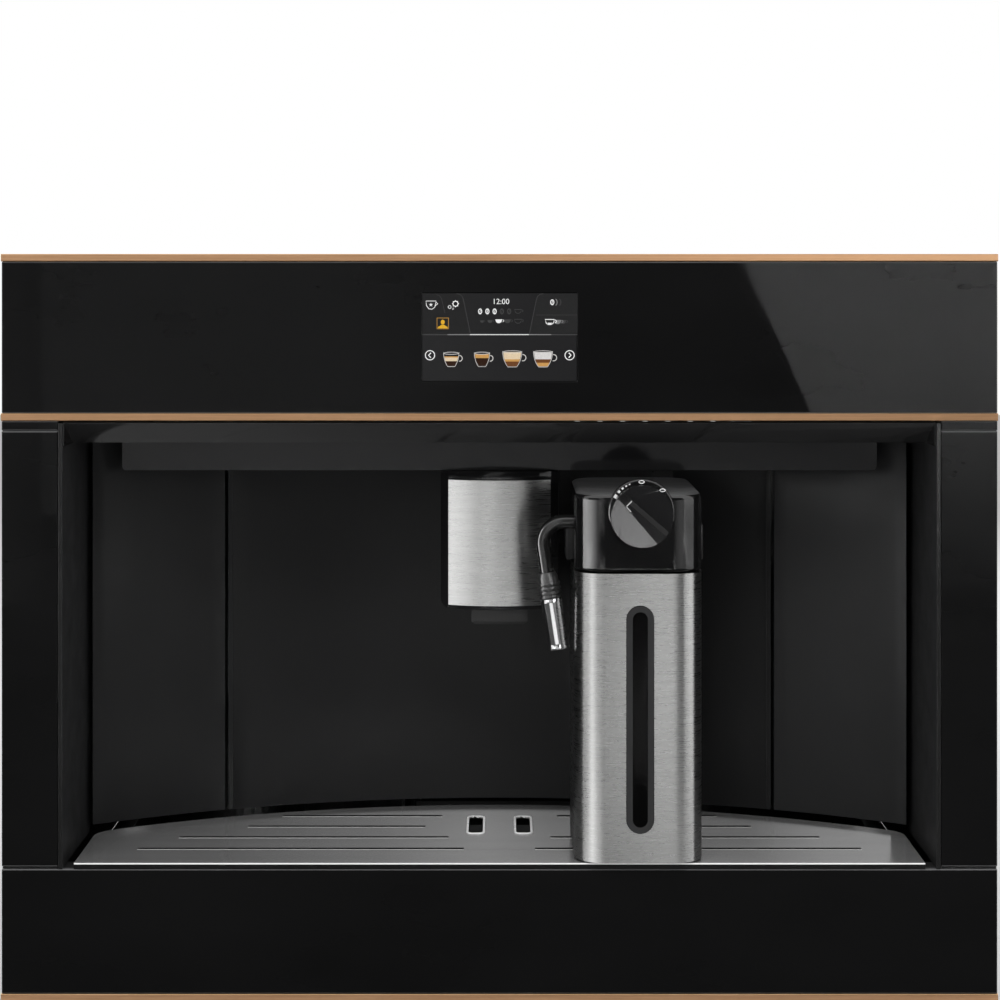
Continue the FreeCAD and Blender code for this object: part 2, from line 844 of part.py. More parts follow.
# ---------------------------------------------------------------- drip tray


def grid_plan(inset, front):
    """Plan of the tray: straight sides, rounded corners and a rear arc concentric with the niche."""
    half = f"(grid_half - ({inset}))"
    arc = f"(grid_arc - ({inset}))"
    corner = f"(grid_corner - ({inset}))"
    corner_y = f"arc_centre + sqrt(({arc} - {corner}) ^ 2 - ({half} - {corner}) ^ 2)"
    touch_x = f"({half} - {corner}) * {arc} / ({arc} - {corner})"
    touch_y = f"arc_centre + ({corner_y} - arc_centre) * {arc} / ({arc} - {corner})"
    return poly((f"-{half}", front), (half, front), (half, corner_y, corner, -1),
                (touch_x, touch_y, arc, -1), (f"-{touch_x}", touch_y, corner, -1),
                (f"-{half}", corner_y))


def tray_grid():
    """Steel cup grid with long drain slots and two rimmed openings."""
    piece = body("tray_grid")
    low = "grid_top_z - grid_thick"
    pad(piece, "XY", low, "grid_top_z", grid_plan("0", "0"))
    half_slot = "grid_slot_width / 2"
    shapes = []
    for row in ("row_1", "row_2", "row_3", "row_4"):
        low_y, high_y = f"{row}_y - {half_slot}", f"{row}_y + {half_slot}"
        shapes.append(slot(f"{row}_start", low_y, f"{row}_end", high_y))
        shapes.append(slot(f"-{row}_end", low_y, f"-{row}_start", high_y))
    cut(piece, "XY", low, "grid_top_z", *shapes)
    for side in (-1, 1):
        centre = f"{side} * drain_spacing / 2"
        pad(piece, "XY", "grid_top_z", "grid_top_z + drain_rim_height",
            drain_outline(centre, "drain_rim"))
        cut(piece, "XY", low, "grid_top_z + drain_rim_height", drain_outline(centre, "0"))


def drain_outline(centre, grow):
    """Round-cornered opening of the grid, grown by an amount."""
    half = f"(drain_width / 2 + ({grow}))"
    reach = f"(drain_length / 2 + ({grow}))"
    radius = f"(drain_corner + ({grow}))"
    left, right = f"{centre} - {half}", f"{centre} + {half}"
    front, rear = f"drain_y - {reach}", f"drain_y + {reach}"
    return poly((f"{left} + {radius}", front), (f"{right} - {radius}", front, radius, -1),
                (right, f"{front} + {radius}"), (right, f"{rear} - {radius}", radius, -1),
                (f"{right} - {radius}", rear), (f"{left} + {radius}", rear, radius, -1),
                (left, f"{rear} - {radius}"), (left, f"{front} + {radius}", radius, -1))


def drip_tray():
    """Moulded tray: a thin lip over the facade's rail and a deep well behind it."""
    piece = body("drip_tray")
    high = "grid_top_z - grid_thick"
    pad(piece, "XY", "tray_lip_z", high, grid_plan("0", "0"))
    pad(piece, "XY", "tray_floor_z", "tray_lip_z", grid_plan("1", "tray_front"))
    cut(piece, "XY", "tray_floor_z + tray_wall", high,
        grid_plan("1 + tray_wall", "tray_front + tray_wall"))


def tray_float():
    """Level float: a bar in the well with a stem under each opening of the grid."""
    piece = body("tray_float")
    low = "tray_floor_z + tray_wall + 0.2"
    top = "grid_top_z - grid_thick - 1"
    width = "drain_width - 2 * float_play"
    reach = "drain_spacing / 2 + drain_width / 2"
    pad(piece, "XY", low, f"{low} + float_height",
        rect(f"-({reach})", "drain_y - float_half", reach, "drain_y + float_half"))
    stems = []
    for side in (-1, 1):
        centre = f"{side} * drain_spacing / 2"
        stems.append(rect(f"{centre} - ({width}) / 2", "drain_y - stem_half",
                          f"{centre} + ({width}) / 2", "drain_y + stem_half"))
    pad(piece, "XY", f"{low} + float_height", top, *stems)


# ---------------------------------------------------------------- coffee spout

def face_front(x, offset):
    """Depth of the spout's curved face at x, measured in from its front surface."""
    return f"spout_front + face_radius - sqrt((face_radius - ({offset})) ^ 2 - ({x}) ^ 2)"


def spout_guide():
    """Upright rail on the door that the spout slides on."""
    piece = body("spout_guide", "0", "spout_rear + spout_play + guide_thick")
    half = "(guide_width / 2)"
    neck = f"({half} - guide_undercut)"
    rear = "arc_depth - 1 - spout_rear - spout_play - guide_thick"
    pad(piece, "XY", "guide_low_z", "canopy_low_z - seat_gap",
        poly((f"-{neck}", "guide_thick"), (f"-{half}", "guide_thick"), (f"-{half}", "0"),
             (half, "0"), (half, "guide_thick"), (neck, "guide_thick"), (neck, rear),
             (f"-{neck}", rear)))


def spout_head():
    """Moulded head that slides on the guide and carries the steel face and the outlet."""
    piece = body("spout_head")
    half = "spout_width / 2"
    face = "spout_face_width / 2"
    shoulder = face_front(face, "0")
    pad(piece, "XY", "spout_low_z", "spout_top_z",
        poly((f"-({half})", f"{shoulder} + spout_step"), (f"-({face})", shoulder, "face_radius", -1),
             (face, shoulder), (half, f"{shoulder} + spout_step"), (half, "spout_rear"),
             (f"-({half})", "spout_rear")))
    recess = "spout_face_thick + panel_gap"
    cut(piece, "XY", "spout_face_low_z - panel_gap", "spout_face_top_z + panel_gap",
        poly((f"-({face}) + 0.2", "spout_front - 2"), (f"{face} - 0.2", "spout_front - 2"),
             (f"{face} - 0.2", face_front(f"{face} - 0.2", recess), f"face_radius - ({recess})", 1),
             (f"-({face}) + 0.2", face_front(f"{face} - 0.2", recess))))
    fillet(piece, "spout_corner", lambda edge: near(edge.CenterOfMass.z, "spout_low_z")
           and near(abs(edge.CenterOfMass.x), half) and along(edge, INWARD))


def spout_cover():
    """Brushed steel face of the spout, curved about an upright axis."""
    piece = body("spout_cover")
    face = "spout_face_width / 2 - 0.4"
    pad(piece, "XY", "spout_face_low_z", "spout_face_top_z",
        poly((f"-({face})", face_front(face, "0"), "face_radius", -1),
             (face, face_front(face, "0")),
             (face, face_front(face, "spout_face_thick"), "face_radius - spout_face_thick", 1),
             (f"-({face})", face_front(face, "spout_face_thick"))))


def spout_outlet():
    """Outlet block under the head with its two coffee bores."""
    piece = body("spout_outlet")
    half = "outlet_width / 2"
    pad(piece, "XY", "outlet_low_z", "spout_low_z",
        rect(f"-({half})", "outlet_y - outlet_depth / 2", half, "outlet_y + outlet_depth / 2"))
    chamfer(piece, "2", lambda edge: near(edge.CenterOfMass.z, "outlet_low_z"))
    cut(piece, "XY", "outlet_low_z", "outlet_low_z + outlet_bore_depth",
        circle("-outlet_spacing / 2", "outlet_y", "outlet_bore"),
        circle("outlet_spacing / 2", "outlet_y", "outlet_bore"))


# ---------------------------------------------------------------- milk jug

def jug_plan(inset):
    return rect(f"jug_left + ({inset})", f"jug_front + ({inset})",
                f"jug_right - ({inset})", f"jug_rear - ({inset})")


def round_upright(piece, radius, inset):
    """Round the four upright corners of a jug-shaped solid."""
    sides = (num(f"jug_left + ({inset})"), num(f"jug_right - ({inset})"))
    fillet(piece, f"({radius}) - ({inset})", lambda edge: along(edge, UP)
           and min(abs(edge.CenterOfMass.x - side) for side in sides) < 0.01)


def window_slot(grow):
    """Upright round-ended opening in the front of the jug, grown by an amount."""
    half = f"(window_width / 2 + ({grow}))"
    return slot(f"jug_x + window_inset - {half}", f"window_low_z - ({grow})",
                f"jug_x + window_inset + {half}", f"window_top_z + ({grow})")


def jug_sleeve():
    """Brushed steel sleeve, open at top and bottom, with the window slot."""
    piece = body("jug_sleeve")
    pad(piece, "XY", "jug_low_z", "jug_top_z", jug_plan("0"))
    round_upright(piece, "jug_corner", "0")
    hollow_jug(piece, "jug_low_z", "jug_top_z", "jug_skin")
    cut(piece, "XZ", "jug_front", "jug_front + jug_skin", window_slot("0"))


def hollow_jug(piece, low, high, inset):
    """Hollow a jug-shaped solid to a wall, with rounded inner corners."""
    radius = f"jug_corner - ({inset})"
    left, right = f"jug_left + ({inset})", f"jug_right - ({inset})"
    front, rear = f"jug_front + ({inset})", f"jug_rear - ({inset})"
    cut(piece, "XY", low, high,
        poly((f"{left} + {radius}", front), (f"{right} - ({radius})", front, radius, -1),
             (right, f"{front} + {radius}"), (right, f"{rear} - ({radius})", radius, -1),
             (f"{right} - ({radius})", rear), (f"{left} + {radius}", rear, radius, -1),
             (left, f"{rear} - ({radius})"), (left, f"{front} + {radius}", radius, -1)))


def jug_liner():
    """Plastic milk container inside the sleeve, with its foot."""
    piece = body("jug_liner")
    inset = "jug_skin + panel_gap"
    pad(piece, "XY", "jug_low_z - seat_gap", "jug_top_z - 1", jug_plan(inset))
    round_upright(piece, "jug_corner", inset)
    hollow_jug(piece, "jug_low_z + jug_foot", "jug_top_z - 1", f"{inset} + jug_liner_wall")


def jug_window():
    """Round-ended rim that closes the slot in the sleeve and frames the level window."""
    piece = body("jug_window")
    pad(piece, "XZ", "jug_front - window_proud", "jug_front + jug_skin + 0.1", window_slot("-0.1"))
    cut(piece, "XZ", "jug_front - window_proud", "jug_front", window_slot("-window_rim"))
    chamfer(piece, "0.3", lambda edge: near(edge.BoundBox.YMax, "jug_front - window_proud"))


def milk_lid():
    """Froth lid: glossy shell that holds the dial, the spout pivot and the docking socket."""
    piece = body("milk_lid")
    pad(piece, "XY", "lid_low_z", "lid_top_z", jug_plan("0"))
    round_upright(piece, "lid_corner", "0")
    fillet(piece, "lid_edge", lambda edge: near(edge.BoundBox.ZMin, "lid_top_z"))
    fillet(piece, "lid_foot_edge", lambda edge: near(edge.BoundBox.ZMax, "lid_low_z"))
    socket = "nozzle_radius + nozzle_play"
    cut(piece, "XZ", "jug_rear - nozzle_length + 1", "jug_rear",
        circle("jug_x", "nozzle_z", socket))
    cut(piece, "YZ", "jug_left", "jug_left + 8",
        circle("pipe_y", "pipe_z", "pipe_radius + swivel_bore_play"))
    for left, right in (("jug_left", "jug_left + release_travel + release_wall"),
                        ("jug_right - release_travel - release_wall", "jug_right")):
        cut(piece, "YZ", left, right,
            rect("release_y + release_inset", "release_z - release_height / 2",
                 "release_y + release_inset + release_width", "release_z + release_height / 2"))
    cut(piece, "XZ", "lid_front", "lid_front + 6",
        circle("knob_x", "knob_z", "knob_shaft_radius + swivel_bore_play"))


def dial_ring():
    """Fixed ring behind the froth knob, set a little higher so that its marks show above it."""
    piece = body("dial_ring", "knob_x", "lid_front", "knob_z + dial_rise")
    turn(piece, "YZ", "H", poly(("0", "0"), ("0", "dial_radius"), ("1 - dial_height", "dial_radius"),
                                ("-dial_height", "dial_radius - 1"), ("-dial_height", "0")))
    cut(piece, "XZ", "-dial_height", "-dial_web",
        circle("0", "-dial_rise", "knob_radius - dial_web"))
    cut(piece, "XZ", "-dial_web", "0", circle("0", "-dial_rise", "dial_bore"))


def froth_knob():
    """Froth control: a disc whose halves slope away from a grip bar that narrows to its pointer."""
    piece = body("froth_knob", "knob_x", "lid_front", "knob_z")
    foot = "-dial_height - 0.3"
    face = "(-dial_height - knob_height)"
    grip = f"({face} - knob_grip_height)"
    wide, narrow = "(knob_grip_width / 2)", "(knob_tip_width / 2)"
    rim = "(knob_radius - 1)"
    turn(piece, "YZ", "H", poly(("knob_shaft_length", "0"), ("knob_shaft_length", "knob_shaft_radius"),
                                (foot, "knob_shaft_radius"), (foot, "knob_radius"),
                                (f"{face} + 0.6", "knob_radius"),
                                (face, "knob_radius - 0.6"), (face, "0")))
    for side in (-1, 1):
        near_x, far_x = f"{side} * {narrow}", f"{side} * (knob_radius + 1)"
        drop = f"{face} + (knob_radius + 1 - {narrow}) * tan(knob_slope * 1 deg)"
        cut(piece, "XY", "-knob_radius - 1", "knob_radius + 1",
            poly((near_x, f"{face} - 1"), (near_x, face), (far_x, drop), (far_x, f"{face} - 1")))
    end_z = f"-sqrt({rim} ^ 2 - {wide} ^ 2)"
    pad(piece, "XZ", grip, f"{face} + knob_height / 2",
        poly((wide, end_z), (narrow, "knob_tip_reach"), (f"-{narrow}", "knob_tip_reach"),
             (f"-{wide}", end_z, rim, -1)))
    chamfer(piece, "knob_flank", lambda edge: near(edge.BoundBox.YMin, grip)
            and near(edge.BoundBox.YMax, grip) and edge.CenterOfMass.x > num(f"{narrow} / 2"))
    tilt(piece, INWARD, "-knob_angle")


def release_buttons():
    """Sprung catches on each side of the lid."""
    for label, side in (("release_left", -1), ("release_right", 1)):
        piece = body(label, f"jug_x + {side} * jug_width / 2", "release_y + release_inset", "release_z")
        tail = "(release_wall - 0.5)"
        inner, outer = ((f"-{tail}", "release_proud") if side > 0
                        else ("-release_proud", tail))
        rise = "(release_height / 2 - release_play)"
        pad(piece, "YZ", inner, outer,
            rect("release_play", f"-{rise}", "release_width - release_play", rise))
        tip = f"{side} * release_proud"
        fillet(piece, "1.2", lambda edge: near(edge.CenterOfMass.x, tip))


# ---------------------------------------------------------------- milk spout

def milk_pipe():
    """Swivelling pipe: level stub in the lid, one bend, then a sloping drop."""
    piece = body("milk_pipe", "jug_left", "pipe_y", "pipe_z")
    turned = math.radians(90 + num("pipe_tilt"))
    reach, bend, drop = num("pipe_reach"), num("pipe_bend"), num("pipe_drop")
    path = sketch(piece, "XZ", "0", [])
    stub_end = -(reach - bend)
    centre = Vector(stub_end, -bend, 0)
    start_angle = math.pi / 2
    end_angle = start_angle + turned
    bend_end = centre + Vector(math.cos(end_angle), math.sin(end_angle), 0) * bend
    heading = Vector(-math.sin(end_angle), math.cos(end_angle), 0)
    foot = bend_end + heading * drop
    stub = path.addGeometry(Part.LineSegment(Vector(6, 0, 0), Vector(stub_end, 0, 0)), False)
    ring = Part.Circle(centre, Vector(0, 0, 1), bend)
    arc = path.addGeometry(Part.ArcOfCircle(ring, start_angle, end_angle), False)
    fall = path.addGeometry(Part.LineSegment(bend_end, foot), False)
    path.addConstraint(Sketcher.Constraint("Tangent", stub, 2, arc, 1))
    path.addConstraint(Sketcher.Constraint("Tangent", arc, 2, fall, 1))
    fix(path, stub, 1, "6", "0")
    fix(path, stub, 2, "pipe_bend - pipe_reach", "0")
    fix_radius(path, arc, "pipe_bend")
    slope = path.addConstraint(Sketcher.Constraint("Angle", fall, math.radians(num("pipe_tilt - 90"))))
    path.setExpression(f"Constraints[{slope}]", bound("(pipe_tilt - 90) * 1 deg"))
    length = path.addConstraint(Sketcher.Constraint("Distance", fall, drop))
    path.setExpression(f"Constraints[{length}]", bound("pipe_drop"))
    section = sketch(piece, "YZ", "6", [circle("0", "0", "pipe_radius")])
    doc.recompute()
    feature = piece.newObject("PartDesign::AdditivePipe", "milk_pipe_sweep")
    feature.Profile = section
    feature.Spine = (path, [])
    doc.recompute()


def pipe_foot():
    """Where the milk pipe's axis ends, from the pipe's own origin, as formulas."""
    sine, cosine = "sin(pipe_tilt * 1 deg)", "cos(pipe_tilt * 1 deg)"
    x = f"pipe_bend - pipe_reach - pipe_bend * {cosine} + pipe_drop * {sine}"
    z = f"-pipe_bend - pipe_bend * {sine} - pipe_drop * {cosine}"
    return x, z


def pipe_collar():
    """Ribbed grip over the end of the milk pipe."""
    foot_x, foot_z = pipe_foot()
    piece = body("pipe_collar", f"jug_left + {foot_x}", "pipe_y", f"pipe_z + {foot_z}")
    hole = "pipe_radius + swivel_bore_play"
    core = "collar_radius - 0.8"
    turn(piece, "XZ", "V", poly((hole, "collar_length - 2"), (hole, "-panel_gap"),
                                ("0", "-panel_gap"), ("0", "-2"), (core, "-2"),
                                (core, "collar_length - 3"),
                                ("pipe_radius + 0.8", "collar_length")))
    step = "(collar_length - 3.5) / collar_ribs"
    pad(piece, "XY", "-1.8", f"-1.8 + ({step}) * 0.55", circle("0", "0", "collar_radius"),
        circle("0", "0", "pipe_radius + 0.4"))
    repeat(piece, "N", step, "collar_ribs")
    tilt(piece, INWARD, "-pipe_tilt")


def pipe_tip():
    """Chrome outlet tube with a dark ring at its mouth."""
    foot_x, foot_z = pipe_foot()
    piece = body("pipe_tip", f"jug_left + {foot_x}", "pipe_y", f"pipe_z + {foot_z}")
    end = "-2.2 - tip_length"
    turn(piece, "XZ", "V", poly(("0", "-2.2"), ("tip_radius", "-2.2"),
                                ("tip_end_radius", f"{end} + tip_ring"),
                                ("tip_end_radius + 0.3", f"{end} + tip_ring"),
                                ("tip_end_radius + 0.3", end), ("tip_end_radius - 1.2", end),
                                ("tip_end_radius - 1.2", f"{end} + 12"), ("0", f"{end} + 12")))
    tilt(piece, INWARD, "-pipe_tilt")


# ---------------------------------------------------------------- chassis and rails

def rails():
    """Telescopic runners: fixed, middle and moving members, left and right."""
    end = "rail_start + rail_length"
    fixed = body("rails_fixed")
    web = "body_half + 2"
    top = "rail_height - facade_lift"
    pad(fixed, "XZ", "rail_start", end,
        *mirrored_rects(f"{web} - rail_sheet", "-facade_lift", web, top))
    pad(fixed, "XZ", "rail_start", end,
        *mirrored_rects("base_half + 2", "-facade_lift", f"{web} - rail_sheet",
                        "-facade_lift + rail_sheet"))
    pad(fixed, "XZ", "rail_start", end,
        *mirrored_rects(f"{web} - rail_sheet - 6", f"{top} - rail_sheet", f"{web} - rail_sheet",
                        top))
    hole_x = "(base_half + body_half) / 2 + 1"
    hole_rear = "rail_hole_front + rail_hole_spacing"
    cut(fixed, "XY", "-facade_lift", "-facade_lift + rail_sheet",
        *[circle(f"{side} * ({hole_x})", row, "rail_hole_radius")
          for side in (-1, 1) for row in ("rail_hole_front", hole_rear)])

    middle = body("rails_middle")
    flange_top = f"{top} - rail_sheet - rail_play"
    flange_low = "-facade_lift + rail_sheet + rail_play"
    centre = "(base_half + body_half) / 2 + 1"
    pad(middle, "XZ", "rail_start + 4", f"{end} - 4",
        *mirrored_rects(f"{centre} - rail_sheet / 2", flange_low, f"{centre} + rail_sheet / 2",
                        flange_top))
    for low, high in ((f"{flange_top} - rail_sheet", flange_top),
                      (flange_low, f"{flange_low} + rail_sheet")):
        for near_x, far_x in ((f"{centre} - 5", f"{centre} - rail_sheet / 2"),
                              (f"{centre} + rail_sheet / 2", f"{centre} + 5")):
            pad(middle, "XZ", "rail_start + 4", f"{end} - 4",
                *mirrored_rects(near_x, low, far_x, high))

    moving = body("rails_moving")
    lip_top = f"{flange_top} - rail_sheet - rail_play"
    lip_low = f"{flange_low} + rail_sheet + rail_play"
    pad(moving, "XZ", "rail_start + 2", f"{end} - 2",
        *mirrored_rects("base_half", lip_low, "base_half + rail_sheet", lip_top))
    for low, high in ((f"{lip_top} - rail_sheet", lip_top), (lip_low, f"{lip_low} + rail_sheet")):
        pad(moving, "XZ", "rail_start + 2", f"{end} - 2",
            *mirrored_rects("base_half + rail_sheet", low, f"{centre} - rail_sheet / 2 - rail_play",
                            high))


def chassis_base():
    """Folded base pan with side flanges, drain slots and the drip tray's four posts."""
    piece = body("chassis_base")
    front = "body_front"
    rear = "cover_rear"
    pad(piece, "XY", "base_floor_z", "base_wall_z", rect("-base_half", front, "base_half", rear))
    cut(piece, "XY", "base_floor_z + sheet_thick", "base_wall_z",
        rect("-base_half + sheet_thick", f"{front} + sheet_thick", "base_half - sheet_thick",
             f"{rear} - sheet_thick"))
    pad(piece, "XY", "base_wall_z - sheet_thick", "base_wall_z",
        rect("base_half", front, "body_half - sheet_thick", rear),
        rect("-body_half + sheet_thick", front, "-base_half", rear))
    for x in ("-grid_half + 30", "grid_half - 36"):
        for y in ("tray_front + 6", "tray_front + 46"):
            pad(piece, "XY", "base_floor_z + sheet_thick", "tray_floor_z",
                rect(x, y, f"{x} + 6", f"{y} + 6"))
    cut(piece, "XY", "base_floor_z", "base_floor_z + sheet_thick",
        rect("90", "vent_y", "230", "vent_y + vent_width"))
    repeat(piece, "V", "14", "6")


def side_covers():
    """Steel side sheets with rows of cooling louvres."""
    for label, side in (("side_cover_left", -1), ("side_cover_right", 1)):
        piece = body(label)
        outer, inner = f"{side} * body_half", f"{side} * (body_half - sheet_thick)"
        left, right = (inner, outer) if side > 0 else (outer, inner)
        high = "body_top_z - sheet_thick - 0.2"
        pad(piece, "YZ", left, right,
            rect("body_front", "base_wall_z - 0.2", "cover_rear", high))
        turned, edge = f"{side} * (body_half - 12)", inner
        left_x, right_x = (turned, edge) if side > 0 else (edge, turned)
        pad(piece, "XY", f"{high} - sheet_thick", high,
            rect(left_x, "body_front", right_x, "cover_rear"))
        cut(piece, "YZ", left, right,
            rect("vent_y", "70", "vent_y + 110", "70 + vent_width"))
        repeat(piece, "V", "16", "7")


def rear_cover():
    """Rear sheet with vent slots and openings for the mains inlet and the switch."""
    piece = body("rear_cover")
    pad(piece, "XZ", "body_rear - sheet_thick", "body_rear",
        poly(("-base_half", "base_floor_z"), ("base_half", "base_floor_z"),
             ("base_half", "base_wall_z"), ("body_half", "base_wall_z"),
             ("body_half", "body_top_z"), ("-body_half", "body_top_z"),
             ("-body_half", "base_wall_z"), ("-base_half", "base_wall_z")))
    cut(piece, "XZ", "body_rear - sheet_thick", "body_rear",
        rect("inlet_x - inlet_width / 2", "inlet_z - inlet_height / 2",
             "inlet_x + inlet_width / 2", "inlet_z + inlet_height / 2"),
        rect("switch_x - switch_width / 2", "inlet_z - switch_height / 2",
             "switch_x + switch_width / 2", "inlet_z + switch_height / 2"))
    cut(piece, "XZ", "body_rear - sheet_thick", "body_rear", rect("60", "250", "60 + vent_width", "400"))
    repeat(piece, "H", "18", "10")


def top_cover():
    """Top sheet with openings for the bean hopper, the grind dial and the water tank."""
    piece = body("top_cover")
    pad(piece, "XY", "body_top_z - sheet_thick", "body_top_z",
        rect("-body_half", "body_front", "body_half", "cover_rear"))
    cut(piece, "XY", "body_top_z - sheet_thick", "body_top_z",
        rect("hopper_left - 1", "hopper_front - 1", "hopper_left + hopper_width + 1",
             "hopper_front + hopper_length + 1"),
        circle("dial_x", "grinder_y", "dial_knob_radius + 1"),
        rect("tank_x - tank_width / 2 - tank_gap", "tank_front - tank_gap",
             "tank_x + tank_width / 2 + tank_gap", "tank_front + tank_length + tank_gap"))


def inner_frame():
    """Bay for the brew unit, with the grinder's deck and the tank's shelf."""
    piece = body("inner_frame")
    floor = "base_floor_z + sheet_thick"
    half = "bay_width / 2"
    rear = "bay_front + bay_depth"
    pad(piece, "XY", floor, "bay_top_z",
        *mirrored_rects(f"{half} - tray_wall", "bay_front", half, rear))
    pad(piece, "XY", "bay_top_z", "bay_top_z + tray_wall",
        rect(f"-({half})", "bay_front", half, rear))
    pad(piece, "XY", "shelf_z - tray_wall", "shelf_z",
        rect(f"-({half}) + tray_wall", "bay_front", f"{half} - tray_wall", rear))
    cut(piece, "XY", "shelf_z - tray_wall", "shelf_z",
        rect("-brew_width / 2 + 8", "bay_front", "brew_width / 2 - 8", "brew_y - brew_bore - 6"))
    shelf_high = "tank_low_z - seat_gap"
    shelf_low = f"{shelf_high} - tank_shelf_thick"
    pad(piece, "XY", shelf_low, shelf_high,
        rect(half, "bay_front + 40", "body_half - sheet_thick - seat_gap",
             "tank_front + tank_length + 4"))
    pad(piece, "XY", floor, shelf_low,
        rect("tank_x + tank_width / 2 - 6", "tank_front + tank_length - 4",
             "tank_x + tank_width / 2 - 4", "tank_front + tank_length + 4"),
        rect("tank_x - tank_width / 2", "tank_front + tank_length + 2",
             "tank_x + tank_width / 2 - 6", "tank_front + tank_length + 4"))


def brew_unit():
    """Brew cylinder with guide ribs on both sides."""
    piece = body("brew_unit", "0", "brew_y", "shelf_z")
    half = "brew_width / 2"
    deep = "brew_depth / 2"
    pad(piece, "XY", "0", "brew_height", rect(f"-({half})", f"-({deep})", half, deep))
    fillet(piece, "10", lambda edge: along(edge, UP))
    pad(piece, "XY", "10", "brew_height - 10",
        *mirrored_rects(f"{half} - 1", "-4", "bay_width / 2 - tray_wall - 0.4", "4"))
    cut(piece, "XY", "brew_height - brew_stroke_depth", "brew_height", circle("0", "0", "brew_bore"))
    cut(piece, "XY", "0", "brew_height - brew_stroke_depth",
        circle("0", "0", "rod_radius + piston_play"))


def brew_piston():
    """Piston and rod that press the ground coffee."""
    piece = body("brew_piston", "0", "brew_y", "shelf_z")
    low = "brew_height - brew_stroke_depth + 2"
    turn(piece, "XZ", "V", poly(("0", "4"), ("rod_radius", "4"), ("rod_radius", low),
                                ("brew_bore - piston_play", low),
                                ("brew_bore - piston_play", f"{low} + 14"), ("0", f"{low} + 14")))


def grounds_container():
    """Open box for spent coffee under the brew unit."""
    piece = body("grounds_container")
    half = "grounds_width / 2"
    low = "base_floor_z + sheet_thick + 0.2"
    high = f"{low} + grounds_height"
    pad(piece, "XY", low, high,
        rect(f"-({half})", "bay_front + 2", half, "bay_front + bay_depth - 4"))
    fillet(piece, "8", lambda edge: along(edge, UP))
    cut(piece, "XY", f"{low} + grounds_wall", high,
        rect(f"-({half}) + grounds_wall", "bay_front + 2 + grounds_wall",
             f"{half} - grounds_wall", "bay_front + bay_depth - 4 - grounds_wall"))


def grinder():
    """Grinder motor and burr chamber with the ear that carries the grind dial."""
    piece = body("grinder", "grinder_x", "grinder_y", "bay_top_z + tray_wall")
    top = "grinder_height"
    turn(piece, "XZ", "V", poly(("0", "0"), ("grinder_radius", "0"),
                                ("grinder_radius", f"{top} - 28"),
                                ("grinder_radius - 6", f"{top} - 28"),
                                ("grinder_radius - 6", top), ("burr_radius + 1", top),
                                ("burr_radius + 1", f"{top} - burr_height - 4"),
                                ("0", f"{top} - burr_height - 4")))
    pad(piece, "XY", f"{top} - 22", f"{top} - 12",
        slot("0", "-9", "dial_x - grinder_x + 9", "9"))
    bore(piece, "XZ", "V", rect("0", f"{top} - burr_height - 4", "burr_radius + 1", top))
    cut(piece, "XY", f"{top} - 22", f"{top} - 12",
        circle("dial_x - grinder_x", "0", "dial_shaft_radius + 0.06"))


def burr():
    """Conical burr on the grinder's shaft."""
    piece = body("burr", "grinder_x", "grinder_y", "bay_top_z + tray_wall + grinder_height")
    turn(piece, "XZ", "V", poly(("0", "-burr_height - 3.7"), ("burr_radius", "-burr_height - 3.7"),
                                ("burr_radius", "-burr_height + 2"), ("8", "-2"), ("0", "-2")))


def grind_dial():
    """Fineness dial reached through the top cover, with its shaft."""
    low = "bay_top_z + tray_wall + grinder_height - 24"
    piece = body("grind_dial", "dial_x", "grinder_y", low)
    face = f"body_top_z - ({low}) + 2"
    turn(piece, "XZ", "V", poly(("0", "0"), ("dial_shaft_radius", "0"),
                                ("dial_shaft_radius", f"{face} - 10"),
                                ("dial_knob_radius", f"{face} - 10"),
                                ("dial_knob_radius", f"{face} - 1.5"),
                                ("dial_knob_radius - 1.5", face), ("0", face)))


def bean_hopper():
    """Tapered bean hopper that drops onto the grinder."""
    piece = body("bean_hopper")
    high = "body_top_z - hopper_lid_thick - seat_gap"
    pad(piece, "XY", "hopper_low_z", high,
        rect("hopper_left", "hopper_front", "hopper_left + hopper_width",
             "hopper_front + hopper_length"))
    fillet(piece, "10", lambda edge: along(edge, UP))
    low = "bay_top_z + tray_wall + grinder_height + 0.2"
    pad(piece, "XY", low, "hopper_low_z", circle("grinder_x", "grinder_y", "grinder_radius - 8"))
    cut(piece, "XY", "hopper_low_z + hopper_wall", high,
        rect("hopper_left + hopper_wall", "hopper_front + hopper_wall",
             "hopper_left + hopper_width - hopper_wall",
             "hopper_front + hopper_length - hopper_wall"))
    cut(piece, "XY", low, "hopper_low_z + hopper_wall",
        circle("grinder_x", "grinder_y", "burr_radius + 2"))


def flap(label, x, rear, width, length, thick):
    """Flat lid in the top cover that turns up about a barrel along its rear edge."""
    piece = body(label, x, f"{rear} - lid_hinge_inset", f"body_top_z - {thick} / 2")
    half = f"{width} / 2"
    low, high = f"-{thick} / 2", f"{thick} / 2"
    front = f"lid_hinge_inset - {length}"
    pad(piece, "XY", low, high, rect(f"-{half}", front, half, f"-{thick} * 0.4"))
    fillet(piece, "8", lambda edge: along(edge, UP) and edge.CenterOfMass.y < num(front) / 2)
    pad(piece, "YZ", f"-{half} + 12", f"{half} - 12", circle("0", "0", f"{thick} / 2"))
    cut(piece, "XY", f"{high} - 1.2", high, slot("-16", f"{front} + 6", "16", f"{front} + 16"))


def hopper_lid():
    """Hinged lid over the beans."""
    flap("hopper_lid", "grinder_x", "hopper_front + hopper_length", "hopper_width",
         "hopper_length", "hopper_lid_thick")


